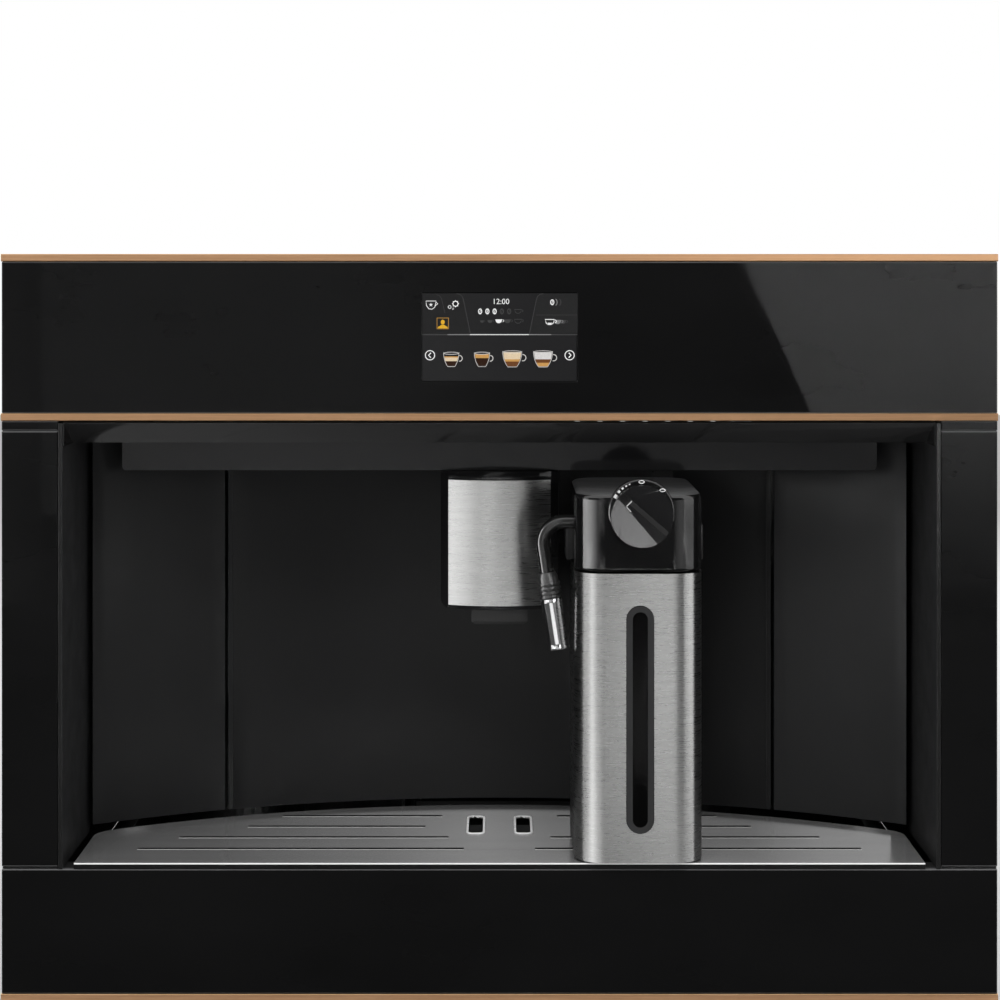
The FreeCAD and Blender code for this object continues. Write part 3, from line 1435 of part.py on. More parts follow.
def boiler():
    """Heating block with its stepped cap and feet."""
    piece = body("boiler", "boiler_x", "boiler_y", "base_floor_z + sheet_thick")
    neck = "boiler_radius - boiler_cap / 2"
    shoulder = "boiler_height - boiler_cap"
    turn(piece, "XZ", "V", poly(("0", "boiler_foot"), ("boiler_radius", "boiler_foot"),
                                ("boiler_radius", shoulder), (neck, shoulder),
                                (neck, "boiler_height"), ("0", "boiler_height")))
    reach = "(boiler_radius - 3 * boiler_foot_radius)"
    feet = [circle(f"{reach} * cos({angle} * 1 deg)", f"{reach} * sin({angle} * 1 deg)",
                   "boiler_foot_radius") for angle in (90, 210, 330)]
    pad(piece, "XY", "0", "boiler_foot + 2", *feet)



def pump():
    """Vibration pump in its rubber cradle."""
    piece = body("pump", "pump_x", "pump_y", "base_floor_z + sheet_thick")
    centre = "pump_radius + pump_lift"
    side = "(pump_radius + cradle_wall)"
    pad(piece, "XZ", "0", "pump_length", circle("0", centre, "pump_radius"))
    pad(piece, "XZ", "-pump_inlet", "0", circle("0", centre, "pump_inlet_radius"))
    pad(piece, "XZ", "pump_length", "pump_length + pump_outlet",
        circle("0", centre, "pump_outlet_radius"))
    for front in ("cradle_inset", "pump_length - cradle_inset - cradle_width"):
        pad(piece, "XZ", front, f"{front} + cradle_width", rect(f"-{side}", "0", side, centre))



def water_tank():
    """Lift-out water tank with a foot valve, open at the top under its lid."""
    piece = body("water_tank", "tank_x", "tank_front", "tank_low_z")
    half = "tank_width / 2"
    high = "body_top_z - tank_lid_thick - tank_low_z - seat_gap"
    pad(piece, "XY", "0", high, rect(f"-({half})", "0", half, "tank_length"))
    fillet(piece, "10", lambda edge: along(edge, UP))
    cut(piece, "XY", "tank_wall", high,
        rect(f"-({half}) + tank_wall", "tank_wall", f"{half} - tank_wall",
             "tank_length - tank_wall"))


def tank_lid():
    """Hinged lid of the water tank."""
    flap("tank_lid", "tank_x", "tank_front + tank_length", "tank_width", "tank_length",
         "tank_lid_thick")


def control_board():
    """Main board on four posts behind the rear cover, with its transformer and relay."""
    piece = body("control_board", "0", "body_rear - sheet_thick", "board_low_z")
    half = "board_width / 2"
    board = "-board_post - board_thick"
    pad(piece, "XZ", board, "-board_post", rect(f"-({half})", "0", half, "board_height"))
    posts = [circle(f"{side} * ({half} - board_post_inset)", row, "board_post_radius")
             for side in (-1, 1) for row in ("board_post_inset", "board_height - board_post_inset")]
    pad(piece, "XZ", "-board_post - 0.1", "-0.1", *posts)
    pad(piece, "XZ", f"{board} - board_part_height", board,
        rect("-60", "20", "-20", "70"), rect("10", "80", "46", "112"))



def mains_inlet():
    """Appliance inlet with three blades, flush in the rear cover."""
    piece = body("mains_inlet", "inlet_x", "body_rear", "inlet_z")
    wide, tall = "(inlet_width / 2 - fit_gap)", "(inlet_height / 2 - fit_gap)"
    pad(piece, "XZ", "-inlet_depth", "fit_gap", rect(f"-{wide}", f"-{tall}", wide, tall))
    pad(piece, "XZ", "fit_gap", "inlet_proud",
        rect("-inlet_flange / 2", f"-{tall} - 2", "inlet_flange / 2", f"{tall} + 2"))
    floor = "5 - inlet_depth"
    cut(piece, "XZ", floor, "inlet_proud",
        rect(f"-{wide} + inlet_wall", f"-{tall} + inlet_wall", f"{wide} - inlet_wall",
             f"{tall} - inlet_wall"))
    blades = [rect(f"{x} - blade_width / 2", low, f"{x} + blade_width / 2", f"{low} + blade_height")
              for x, low in (("-blade_spacing", "1 - blade_height"), ("0", "1"),
                             ("blade_spacing", "1 - blade_height"))]
    pad(piece, "XZ", f"{floor} - 1", "-1", *blades)
    screw_x = "(inlet_flange / 2 - 5)"
    cut(piece, "XZ", "fit_gap", "inlet_proud", circle(f"-{screw_x}", "0", "inlet_screw_radius"),
        circle(screw_x, "0", "inlet_screw_radius"))



def power_switch():
    """Rocker switch: bezel and body."""
    piece = body("switch_bezel", "switch_x", "body_rear", "inlet_z")
    wide, tall = "(switch_width / 2 - fit_gap)", "(switch_height / 2 - fit_gap)"
    pad(piece, "XZ", "-switch_depth", "fit_gap", rect(f"-{wide}", f"-{tall}", wide, tall))
    pad(piece, "XZ", "fit_gap", "switch_proud",
        rect(f"-{wide} - switch_rim", f"-{tall} - switch_rim", f"{wide} + switch_rim",
             f"{tall} + switch_rim"))
    cut(piece, "XZ", "8 - switch_depth", "switch_proud",
        rect(f"-{wide} + switch_rim", f"-{tall} + switch_rim", f"{wide} - switch_rim",
             f"{tall} - switch_rim"))
    rocker = body("power_rocker", "switch_x", "body_rear - 4", "inlet_z")
    blade = f"({wide} - switch_rim - 0.4)"
    rise = f"({tall} - 1.8 * switch_rim)"
    pad(rocker, "YZ", f"-{blade}", blade,
        poly(("0", f"-{rise}"), ("5", f"-{rise}"), ("4", "0"), ("5", rise), ("0", rise),
             ("-3", "0")))
    pad(rocker, "YZ", f"-{blade} - 0.35", f"{blade} + 0.35", circle("0", "0", "rocker_pin"))
    tilt(rocker, ACROSS, "rocker_tilt")


def build():
    facade_frame()
    glass_panels()
    glass_columns()
    trims()
    display_screen()
    niche_walls()
    niche_lip()
    canopy()
    cup_lights()
    back_panels()
    service_door()
    port_housing()
    steam_nozzle()
    tray_grid()
    drip_tray()
    tray_float()
    spout_guide()
    spout_head()
    spout_cover()
    spout_outlet()
    jug_sleeve()
    jug_liner()
    jug_window()
    milk_lid()
    dial_ring()
    froth_knob()
    release_buttons()
    milk_pipe()
    pipe_collar()
    pipe_tip()
    rails()
    chassis_base()
    side_covers()
    rear_cover()
    top_cover()
    inner_frame()
    brew_unit()
    brew_piston()
    grounds_container()
    grinder()
    burr()
    grind_dial()
    bean_hopper()
    hopper_lid()
    boiler()
    pump()
    water_tank()
    tank_lid()
    control_board()
    mains_inlet()
    power_switch()


def write_parts():
    """Check every object, then write each sub-part's shape under its own name."""
    doc.recompute()
    failed = [item.Label for item in doc.Objects
              if {"Invalid", "Error"} & set(item.State)]
    if failed:
        raise ValueError(f"failed objects: {failed}")
    parts = [item for item in doc.Objects if item.TypeId == "PartDesign::Body"]
    for item in parts:
        if item.Shape.isNull() or not item.Shape.isValid():
            raise ValueError(f"{item.Label}: the shape is not valid")
    os.makedirs("parts", exist_ok=True)
    for item in parts:
        item.Shape.exportStep(f"parts/{item.Label}.step")
    print(f"{len(parts)} parts written")


build()
write_parts()
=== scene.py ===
"""Built-in coffee machine: materials, small trim, screen drawing, light and camera."""
import bpy
import math
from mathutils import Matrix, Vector


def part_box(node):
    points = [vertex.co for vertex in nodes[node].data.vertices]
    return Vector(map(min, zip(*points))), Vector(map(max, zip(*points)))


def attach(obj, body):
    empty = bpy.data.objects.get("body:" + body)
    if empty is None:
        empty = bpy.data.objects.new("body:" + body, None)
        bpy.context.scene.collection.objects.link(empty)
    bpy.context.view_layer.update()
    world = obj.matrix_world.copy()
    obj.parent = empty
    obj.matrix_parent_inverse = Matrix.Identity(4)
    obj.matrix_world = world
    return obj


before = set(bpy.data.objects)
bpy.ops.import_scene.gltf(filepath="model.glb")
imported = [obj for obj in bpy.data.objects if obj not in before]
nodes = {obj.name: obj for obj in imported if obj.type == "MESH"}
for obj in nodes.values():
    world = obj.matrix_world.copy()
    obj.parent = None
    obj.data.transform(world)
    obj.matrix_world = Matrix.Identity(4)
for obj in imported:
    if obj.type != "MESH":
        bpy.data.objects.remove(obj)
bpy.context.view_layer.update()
scene = bpy.context.scene

FACADE_Y = -0.2225
FACADE_LIFT = 0.004
PHOTO_SCALE = 0.5988
PHOTO_MIDDLE, EYE_ROW = 499.5, 280
EYE_HEIGHT, EYE_DISTANCE = 432, 1414


def at(x, d, z):
    """A place given in the facade's own millimetres, in the row frame in metres."""
    return Vector((x / 1000, FACADE_Y + d / 1000, FACADE_LIFT + z / 1000))


# ---------------------------------------------------------------- materials

class Finish:
    """A procedural material under construction."""

    def __init__(self, name):
        self.mat = bpy.data.materials.new(name)
        self.mat.use_nodes = True
        self.tree = self.mat.node_tree
        self.bsdf = self.tree.nodes["Principled BSDF"]
        self.coord = self.tree.nodes.new("ShaderNodeTexCoord").outputs["Object"]

    def set(self, **values):
        """Plain values of the shader's inputs, by short names."""
        names = {"color": "Base Color", "metal": "Metallic", "rough": "Roughness", "ior": "IOR",
                 "spec": "Specular IOR Level", "aniso": "Anisotropic",
                 "transmission": "Transmission Weight", "glow": "Emission Strength"}
        for key, value in values.items():
            if isinstance(value, tuple) and len(value) == 3:
                value = (*value, 1)
            self.bsdf.inputs[names[key]].default_value = value
        return self

    def node(self, kind, **inputs):
        made = self.tree.nodes.new("ShaderNode" + kind)
        for key, value in inputs.items():
            made.inputs[key.replace("_", " ")].default_value = value
        return made

    def link(self, source, target):
        self.tree.links.new(source, target)

    def stretched(self, scale):
        """Object coordinates scaled along each axis."""
        mapping = self.node("Mapping")
        mapping.inputs["Scale"].default_value = scale
        self.link(self.coord, mapping.inputs["Vector"])
        return mapping.outputs["Vector"]

    def noise(self, scale, detail=3.0, stretch=(1, 1, 1), roughness=0.55):
        made = self.node("TexNoise", Scale=scale, Detail=detail, Roughness=roughness)
        self.link(self.stretched(stretch), made.inputs["Vector"])
        return made.outputs["Fac"]

    def ramp(self, fac, *stops):
        """Colour or grey by value, from pairs of place and colour."""
        made = self.node("ValToRGB")
        band = made.color_ramp
        while len(band.elements) < len(stops):
            band.elements.new(0.5)
        for element, (place, value) in zip(band.elements, stops):
            element.position = place
            color = value if isinstance(value, tuple) else (value, value, value)
            element.color = (*color, 1)
        self.link(fac, made.inputs["Fac"])
        return made.outputs["Color"]

    def tint(self, fac, low, high, from_low=0.3, from_high=0.7):
        self.link(self.ramp(fac, (from_low, low), (from_high, high)),
                  self.bsdf.inputs["Base Color"])
        return self

    def roughen(self, fac, low, high, from_low=0.3, from_high=0.7):
        made = self.node("MapRange")
        for key, value in (("From Min", from_low), ("From Max", from_high), ("To Min", low),
                           ("To Max", high)):
            made.inputs[key].default_value = value
        self.link(fac, made.inputs["Value"])
        self.link(made.outputs["Result"], self.bsdf.inputs["Roughness"])
        return self

    def bump(self, fac, strength, distance):
        made = self.node("Bump", Strength=strength, Distance=distance)
        self.link(fac, made.inputs["Height"])
        self.link(made.outputs["Normal"], self.bsdf.inputs["Normal"])
        return self


def brushed(name, light, dark, stretch, rough=(0.24, 0.36), aniso=0.55, depth=0.000006):
    """Steel with fine brush lines along the axes whose stretch is small."""
    finish = Finish(name).set(metal=1.0, aniso=aniso)
    tangent = finish.tree.nodes.new("ShaderNodeTangent")
    tangent.direction_type = "RADIAL"
    tangent.axis = "Z"
    finish.link(tangent.outputs["Tangent"], finish.bsdf.inputs["Tangent"])
    finish.bsdf.inputs["Anisotropic Rotation"].default_value = 0.25
    lines = finish.noise(1500, 3, stretch, 0.6)
    broad = finish.noise(420, 2, stretch, 0.5)
    mix = finish.node("Math")
    mix.operation = "MULTIPLY_ADD"
    finish.link(broad, mix.inputs[0])
    mix.inputs[1].default_value = 0.5
    finish.link(lines, mix.inputs[2])
    finish.tint(mix.outputs[0], dark, light, 0.5, 1.0)
    finish.roughen(lines, rough[0], rough[1])
    finish.bump(lines, 0.02, depth)
    return finish.mat


def plastic(name, low, high, rough, grain=900, bump=0.15, spec=0.5):
    """Moulded plastic with a fine grain and soft uneven tone."""
    finish = Finish(name).set(spec=spec)
    cloud = finish.noise(9, 4)
    grains = finish.noise(grain, 2)
    finish.tint(cloud, low, high)
    finish.roughen(finish.noise(60, 3), rough * 0.88, rough * 1.12)
    finish.bump(grains, bump, 0.00003)
    return finish.mat


def glossy_glass(name="black_glass", low=0.0035, high=0.0050, spec=0.15, rough=(0.015, 0.04)):
    """Black glass with a faint smear in tone and gloss."""
    finish = Finish(name).set(spec=spec)
    smear = finish.noise(7, 5, (1, 1, 2.2))
    finish.tint(smear, (low, low, low * 1.02), (high, high, high * 1.02))
    finish.roughen(smear, rough[0], rough[1])
    return finish.mat


def copper(name, low, high, rough):
    """Copper-coloured strip brushed along its length."""
    finish = Finish(name).set(metal=1.0, aniso=0.4)
    lines = finish.noise(900, 3, (0.02, 1, 1), 0.6)
    finish.tint(lines, low, high)
    finish.roughen(lines, rough[0], rough[1])
    finish.bump(lines, 0.12, 0.00001)
    return finish.mat


def galvanised():
    """Zinc-coated sheet with its crystal pattern."""
    finish = Finish("zinc_sheet").set(metal=0.9)
    cells = finish.node("TexVoronoi", Scale=130)
    finish.link(finish.stretched((1, 1, 1)), cells.inputs["Vector"])
    finish.tint(cells.outputs["Color"], (0.40, 0.41, 0.42), (0.56, 0.57, 0.58), 0.1, 0.9)
    finish.roughen(finish.noise(25, 4), 0.34, 0.52)
    finish.bump(finish.noise(300, 3), 0.1, 0.00003)
    return finish.mat


def chrome():
    """Bright plating with a little haze."""
    finish = Finish("chrome").set(metal=1.0)
    haze = finish.noise(40, 4)
    finish.tint(haze, (0.80, 0.80, 0.81), (0.90, 0.90, 0.91))
    finish.roughen(haze, 0.05, 0.11)
    return finish.mat


def grid_steel():
    """Satin steel that still mirrors the wall behind it."""
    finish = Finish("grid_steel").set(metal=0.45, spec=0.6)
    lines = finish.noise(70, 4, (0.03, 1, 1), 0.7)
    finish.tint(lines, (0.21, 0.21, 0.21), (0.26, 0.26, 0.26))
    finish.roughen(finish.noise(30, 3, (0.2, 1, 1)), 0.16, 0.24)
    finish.bump(lines, 0.08, 0.00002)
    return finish.mat


def smoked():
    """Dark see-through plastic."""
    finish = Finish("smoked_plastic").set(transmission=0.75, spec=0.5, ior=1.5)
    cloud = finish.noise(16, 3)
    finish.tint(cloud, (0.10, 0.105, 0.11), (0.16, 0.165, 0.17))
    finish.roughen(cloud, 0.05, 0.12)
    return finish.mat


def glow(name, color, strength=1.0):
    """A lit mark on the screen, with the faint unevenness of a display."""
    finish = Finish(name).set(color=(0, 0, 0), spec=0.1, rough=0.4, glow=strength)
    dim = tuple(channel * 0.86 for channel in color)
    fac = finish.noise(900, 2)
    finish.link(finish.ramp(fac, (0.3, dim), (0.7, color)), finish.bsdf.inputs["Emission Color"])
    return finish.mat


def board_green():
    """Circuit board with its copper tracks under green lacquer."""
    finish = Finish("board_green").set(spec=0.5)
    cells = finish.node("TexBrick", Scale=60)
    finish.link(finish.stretched((1, 1, 1)), cells.inputs["Vector"])
    cells.inputs["Color1"].default_value = (0.01, 0.09, 0.035, 1)
    cells.inputs["Color2"].default_value = (0.012, 0.12, 0.045, 1)
    cells.inputs["Mortar"].default_value = (0.02, 0.16, 0.06, 1)
    finish.link(cells.outputs["Color"], finish.bsdf.inputs["Base Color"])
    finish.roughen(finish.noise(60, 2), 0.3, 0.5)
    return finish.mat


MAT = {
    "glass": glossy_glass(),
    # light grey on the panes' upper and lower edge faces: painted highlight lines
    "glass_edge": glossy_glass("ground_glass_edge", 0.075, 0.10, 0.5, (0.35, 0.5)),
    "copper": copper("copper_strip", (0.49, 0.276, 0.145), (0.60, 0.352, 0.197), (0.30, 0.42)),
    # lighter copper on the strips' upper and lower faces: painted highlight lines
    "copper_edge_highlight": copper("copper_edge_highlight", (0.78, 0.50, 0.26), (0.86, 0.58, 0.33), (0.22, 0.30)),
    # black of the frame, also painted on the inner faces of the base and side covers as shade
    "black_frame_and_painted_shade": plastic("moulded_black_and_painted_shade", (0.012, 0.012, 0.012), (0.018, 0.018, 0.018), 0.5),
    "wall": plastic("niche_satin", (0.017, 0.0172, 0.0175), (0.023, 0.0232, 0.0235), 0.42, 1600, 0.2,
                    0.35),
    "side_wall": plastic("side_satin", (0.021, 0.021, 0.0215), (0.027, 0.027, 0.0275), 0.4, 1600,
                         0.2, 0.35),
    "lip": plastic("lip_satin", (0.014, 0.014, 0.0142), (0.018, 0.018, 0.0182), 0.12, 1600, 0.06,
                   1.0),
    "gloss": plastic("black_gloss", (0.010, 0.010, 0.0105), (0.013, 0.013, 0.0135), 0.09, 400,
                     0.02, 0.5),
    "lid": plastic("lid_gloss", (0.004, 0.004, 0.0042), (0.006, 0.006, 0.0062), 0.11, 500, 0.03,
                   1.0),
    # satin top of the milk lid, painted a lighter grey for the light that falls on it from above
    "lid_top_painted_light": plastic("satin_lid_top_painted_light", (0.048, 0.048, 0.0485), (0.056, 0.056, 0.0565), 0.42, 1200,
                       0.1, 0.4),
    # near black for the slot walls, the grid's underside, the drip tray's front band and the strips
    # behind the slots: painted shade
    "slot": plastic("slot_painted_shade", (0.003, 0.003, 0.003), (0.006, 0.006, 0.006), 0.5, spec=0.2),
    "edge_gloss": plastic("wall_edge_gloss", (0.008, 0.008, 0.008), (0.011, 0.011, 0.011), 0.16,
                          400, 0.03, 0.4),
    "knob": plastic("knob_black", (0.010, 0.010, 0.0105), (0.014, 0.014, 0.0145), 0.16, 900, 0.06,
                    1.0),
    "plastic": plastic("black_plastic", (0.010, 0.010, 0.010), (0.015, 0.015, 0.015), 0.36),
    "rubber": plastic("black_rubber", (0.010, 0.010, 0.010), (0.016, 0.016, 0.016), 0.3, 700, 0.1,
                      0.8),
    "pipe": plastic("pipe_black", (0.008, 0.008, 0.008), (0.012, 0.012, 0.012), 0.14, 700, 0.03,
                    1.0),
    "grey_plastic": plastic("grey_plastic", (0.13, 0.13, 0.135), (0.17, 0.17, 0.175), 0.45),
    "rim": plastic("rim_grey", (0.030, 0.030, 0.031), (0.038, 0.038, 0.039), 0.36, 900, 0.1,
                   0.3),
    "window": plastic("window_black", (0.0010, 0.0010, 0.0011), (0.0018, 0.0018, 0.0019), 0.1, 400,
                      0.02, 0.1),
    "flank": plastic("knob_flank", (0.006, 0.006, 0.006), (0.009, 0.009, 0.009), 0.3, 900, 0.06,
                     0.15),
    "outlet": plastic("outlet_plastic", (0.026, 0.026, 0.026), (0.034, 0.034, 0.034), 0.36),
    "port": plastic("port_black", (0.004, 0.004, 0.004), (0.006, 0.006, 0.006), 0.3, spec=0.25),
    "float": plastic("float_grey", (0.010, 0.010, 0.010), (0.016, 0.016, 0.016), 0.5),
    "face_steel": brushed("face_steel", (0.49, 0.49, 0.485), (0.41, 0.41, 0.406),
                          (0.05, 0.05, 1), (0.26, 0.30), 0.4),
    "jug_steel": brushed("jug_steel", (0.49, 0.49, 0.485), (0.41, 0.41, 0.406), (0.05, 0.05, 1),
                         (0.26, 0.30), 0.7),
    "turned_steel": brushed("turned_steel", (0.62, 0.62, 0.62), (0.46, 0.46, 0.46), (1, 1, 0.02)),
    "grid": grid_steel(),
    # near white for the grid's raised rims, its front face and the strips in front of the slots:
    # painted highlights
    "grid_painted_highlight": plastic("grid_painted_highlight", (0.72, 0.72, 0.72), (0.80, 0.80, 0.80), 0.3),
    "zinc": galvanised(),
    "chrome": chrome(),
    "smoked": smoked(),
    "board": board_green(),
    "screen": plastic("screen_glass", (0.0125, 0.0125, 0.013), (0.0135, 0.0135, 0.014), 0.08, 600,
                      0.01, 0.22),
    "lens": plastic("lamp_lens", (0.30, 0.30, 0.29), (0.38, 0.38, 0.37), 0.3, 300, 0.2),
    "white_mark": plastic("white_print", (0.62, 0.62, 0.62), (0.74, 0.74, 0.74), 0.4),
    # grey for the edges at the upper end of the knob's grip: painted highlight
    "grip_highlight_mark": plastic("painted_grip_highlight", (0.34, 0.34, 0.34), (0.42, 0.42, 0.42), 0.4),
    "screw": plastic("screw_steel", (0.50, 0.50, 0.51), (0.60, 0.60, 0.61), 0.3),
    # deep black for the sides of the screen's cut-out and the screws' cross recesses: painted shade
    "hole": plastic("deep_black_painted_shade", (0.002, 0.002, 0.002), (0.004, 0.004, 0.004), 0.6, spec=0.1),
}

WEAR = {
    "glass": ("glass_upper", "glass_lower", "glass_columns"),
    "copper": ("trim_top", "trim_middle", "trim_bottom"),
    "black_frame_and_painted_shade": ("facade_frame", "inner_frame", "grounds_container", "brew_unit"),
    "wall": ("back_panel_left", "back_panel_right", "service_door"),
    "side_wall": ("niche_walls",),
    "lip": ("niche_lip",),
    "gloss": ("canopy", "spout_head"),
    "lid": ("milk_lid", "dial_ring"),
    "knob": ("froth_knob",),
    "outlet": ("spout_outlet",),
    "port": ("port_housing",),
    "plastic": ("spout_guide", "drip_tray",
                "release_left", "release_right", "bean_hopper", "switch_bezel", "mains_inlet",
                "power_rocker", "grind_dial", "jug_liner"),
    "pipe": ("milk_pipe",),
    "rubber": ("pipe_collar",),
    "float": ("tray_float",),
    "rim": ("jug_window",),
    "face_steel": ("spout_cover",),
    "jug_steel": ("jug_sleeve",),
    "turned_steel": ("steam_nozzle", "brew_piston", "burr", "boiler"),
    "grid": ("tray_grid",),
    "zinc": ("rails_fixed", "rails_middle", "rails_moving", "chassis_base", "side_cover_left",
             "side_cover_right", "rear_cover", "top_cover"),
    "chrome": ("pipe_tip",),
    "smoked": ("water_tank", "tank_lid", "hopper_lid"),
    "grey_plastic": ("grinder", "pump"),
    "board": ("control_board",),
    "screen": ("display_screen",),
    "lens": ("cup_lights",),
}

for finish_name, members in WEAR.items():
    for member in members:
        mesh = nodes[member].data
        mesh.materials.clear()
        mesh.materials.append(MAT[finish_name])


def repaint(member, finish_name, chosen):
    """Give the faces of a sub-part that the test picks another finish of their own."""
    mesh = nodes[member].data
    mesh.materials.append(MAT[finish_name])
    slot = len(mesh.materials) - 1
    turn = nodes[member].matrix_world.to_3x3()
    for face in mesh.polygons:
        normal = (turn @ face.normal).normalized()
        place = (nodes[member].matrix_world @ face.center - at(0, 0, 0)) * 1000
        if chosen(normal, place):
            face.material_index = slot


GRID_TOP = 82.9
GRID_FRONT, GRID_RIM = 2, 8
SCREEN_LOW, SCREEN_HIGH = 360, 435
PANE_END = 296
FRONT_BAND = 5
WINDOW_RECESS = -5.55


def faces_inward(normal, place):
    """Whether a face well off the middle looks towards it."""
    return place.x * normal.x < -100


def screen_opening(normal, place):
    """Whether a face is the upper or lower side of the cut-out for the screen."""
    return abs(normal.z) > 0.3 and SCREEN_LOW < place.z < SCREEN_HIGH


# the lid's upward faces are painted the lighter grey: painted light from above
repaint("milk_lid", "lid_top_painted_light", lambda normal, place: normal.z > 0.6)
# the upright faces behind the grid's front rim, the walls of the slots and holes, and the grid's
# underside are painted near black as shade
repaint("tray_grid", "slot", lambda normal, place: abs(normal.z) < 0.5 and place.y > GRID_RIM)
repaint("tray_grid", "slot", lambda normal, place: normal.z < -0.5)
# the raised drain rims and the grid's front face are painted near white as highlights
repaint("tray_grid", "grid_painted_highlight",
        lambda normal, place: place.z > GRID_TOP + 0.05
        or normal.y < -0.9 and place.y < GRID_FRONT)
# the drip tray's front band under the grid is painted near black as shade
repaint("drip_tray", "slot", lambda normal, place: normal.y < -0.5 and place.y < FRONT_BAND)
# the upper and lower faces of the copper strips are painted lighter as highlight lines
for strip in ("trim_top", "trim_middle", "trim_bottom"):
    repaint(strip, "copper_edge_highlight", lambda normal, place: abs(normal.z) > 0.5)
# the upper and lower edge faces of the panes, outside the screen's cut-out, are painted light grey
# as highlight lines
for pane in ("glass_upper", "glass_lower", "glass_columns"):
    repaint(pane, "glass_edge",
            lambda normal, place: abs(normal.z) > 0.3 and abs(place.x) < PANE_END
            and not SCREEN_LOW < place.z < SCREEN_HIGH)
# the upper and lower sides of the screen's cut-out in the glass are painted deep black as shade
repaint("glass_upper", "hole", screen_opening)
repaint("niche_walls", "edge_gloss", lambda normal, place: normal.y < -0.8)
repaint("niche_lip", "edge_gloss",
        lambda normal, place: abs(normal.y) > 0.95 or abs(normal.x) > 0.3)
repaint("jug_window", "window", lambda normal, place: place.y > WINDOW_RECESS)
# the inside of the base and the side covers shows through the gap behind the grid; their upward and
# inward faces are painted black there as shade
repaint("chassis_base", "black_frame_and_painted_shade",
        lambda normal, place: normal.z > 0.5 or faces_inward(normal, place))
for cover in ("side_cover_left", "side_cover_right"):
    repaint(cover, "black_frame_and_painted_shade",
            lambda normal, place: faces_inward(normal, place) or normal.z > 0.5)
repaint("froth_knob", "flank", lambda normal, place: normal.z > 0.4 and normal.y < -0.6)

# width of the rounding along the edges of each sub-part, in millimetres
EDGES = {
    "glass_upper": 0.2, "glass_lower": 0.2, "glass_columns": 0.2, "niche_lip": 0.3,
    "niche_walls": 0.35, "canopy": 0.5, "tray_grid": 0.25, "drip_tray": 0.4, "spout_head": 0.6,
    "spout_outlet": 0.6, "jug_window": 0.2, "milk_lid": 0.4, "dial_ring": 0.35,
    "froth_knob": 0.35, "release_left": 0.3, "release_right": 0.3, "service_door": 0.4,
    "back_panel_left": 0.4, "back_panel_right": 0.4, "port_housing": 0.5, "spout_guide": 0.4,
    "pipe_collar": 0.15, "pipe_tip": 0.15, "top_cover": 0.3, "side_cover_left": 0.3,
    "side_cover_right": 0.3, "rear_cover": 0.3, "hopper_lid": 0.4, "tank_lid": 0.4,
    "water_tank": 0.5, "grind_dial": 0.4, "switch_bezel": 0.4, "power_rocker": 0.3,
    "mains_inlet": 0.4, "chassis_base": 0.3, "facade_frame": 0.3,
}


def soften(obj, width):
    """Small rounded edges, so that each edge catches the light."""
    weld = obj.modifiers.new("weld", "WELD")
    weld.merge_threshold = 0.00001
    bevel = obj.modifiers.new("bevel", "BEVEL")
    bevel.width = width / 1000
    bevel.segments = 2
    bevel.limit_method = "ANGLE"
    bevel.angle_limit = math.radians(32)
    bevel.harden_normals = True
    bevel.use_clamp_overlap = True


for member, width in EDGES.items():
    soften(nodes[member], width)


# ---------------------------------------------------------------- small pieces

def mesh_piece(name, verts, faces, material, body="machine"):
    """Flat-shaded piece of one material that rides a body."""
    mesh = bpy.data.meshes.new(name)
    mesh.from_pydata([tuple(v) for v in verts], [], faces)
    mesh.validate()
    mesh.update()
    obj = bpy.data.objects.new(name, mesh)
    scene.collection.objects.link(obj)
    mesh.materials.append(material)
    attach(obj, body)
    return obj


def prism(name, outline, d_front, d_back, material, body="machine"):
    """Flat piece parallel to the facade: outline in facade millimetres, front and back depth."""
    count = len(outline)
    verts = [at(x, d_front, z) for x, z in outline] + [at(x, d_back, z) for x, z in outline]
    faces = [tuple(range(count)), tuple(range(2 * count - 1, count - 1, -1))]
    faces += [(i, i + count, (i + 1) % count + count, (i + 1) % count) for i in range(count)]
    return mesh_piece(name, verts, faces, material, body)


def oval(cx, cz, rx, rz, count=40, start=0.0, end=2 * math.pi):
    """Points along an oval, or along the part of it between two angles."""
    closed = abs(end - start - 2 * math.pi) < 1e-6
    steps = count if closed else count + 1
    return [(cx + rx * math.cos(start + (end - start) * i / count),
             cz + rz * math.sin(start + (end - start) * i / count)) for i in range(steps)]


def band(name, path, width, d_front, d_back, material, closed=False, body="machine"):
    """Line of even width along a path, as a flat piece."""
    left, right = [], []
    last = len(path)
    for i, (x, z) in enumerate(path):
        before = path[(i - 1) % last] if closed or i else path[0]
        after = path[(i + 1) % last] if closed or i < last - 1 else path[-1]
        run = Vector((after[0] - before[0], after[1] - before[1]))
        run.normalize()
        side = Vector((-run.y, run.x)) * width / 2
        left.append((x + side.x, z + side.y))
        right.append((x - side.x, z - side.y))
    verts = [at(x, d_front, z) for x, z in left + right]
    verts += [at(x, d_back, z) for x, z in left + right]
    faces = []
    spans = last if closed else last - 1
    for i in range(spans):
        j = (i + 1) % last
        a, b, c, d = i, j, j + last, i + last
        front = (a, b, c, d)
        back = tuple(v + 2 * last for v in reversed(front))
        faces += [front, back, (a, a + 2 * last, b + 2 * last, b),
                  (d, c, c + 2 * last, d + 2 * last)]
    if not closed:
        for i in (0, last - 1):
            faces.append((i, i + last, i + 3 * last, i + 2 * last))
    return mesh_piece(name, verts, faces, material, body)


# ---------------------------------------------------------------- the screen's drawing

UI_LEFT, UI_TOP, UI_STEPS = 410, 285, 8
SCREEN_FRONT = 0.06
SCREEN_BACK = 0.095
LAYER_LIFT = 0.008


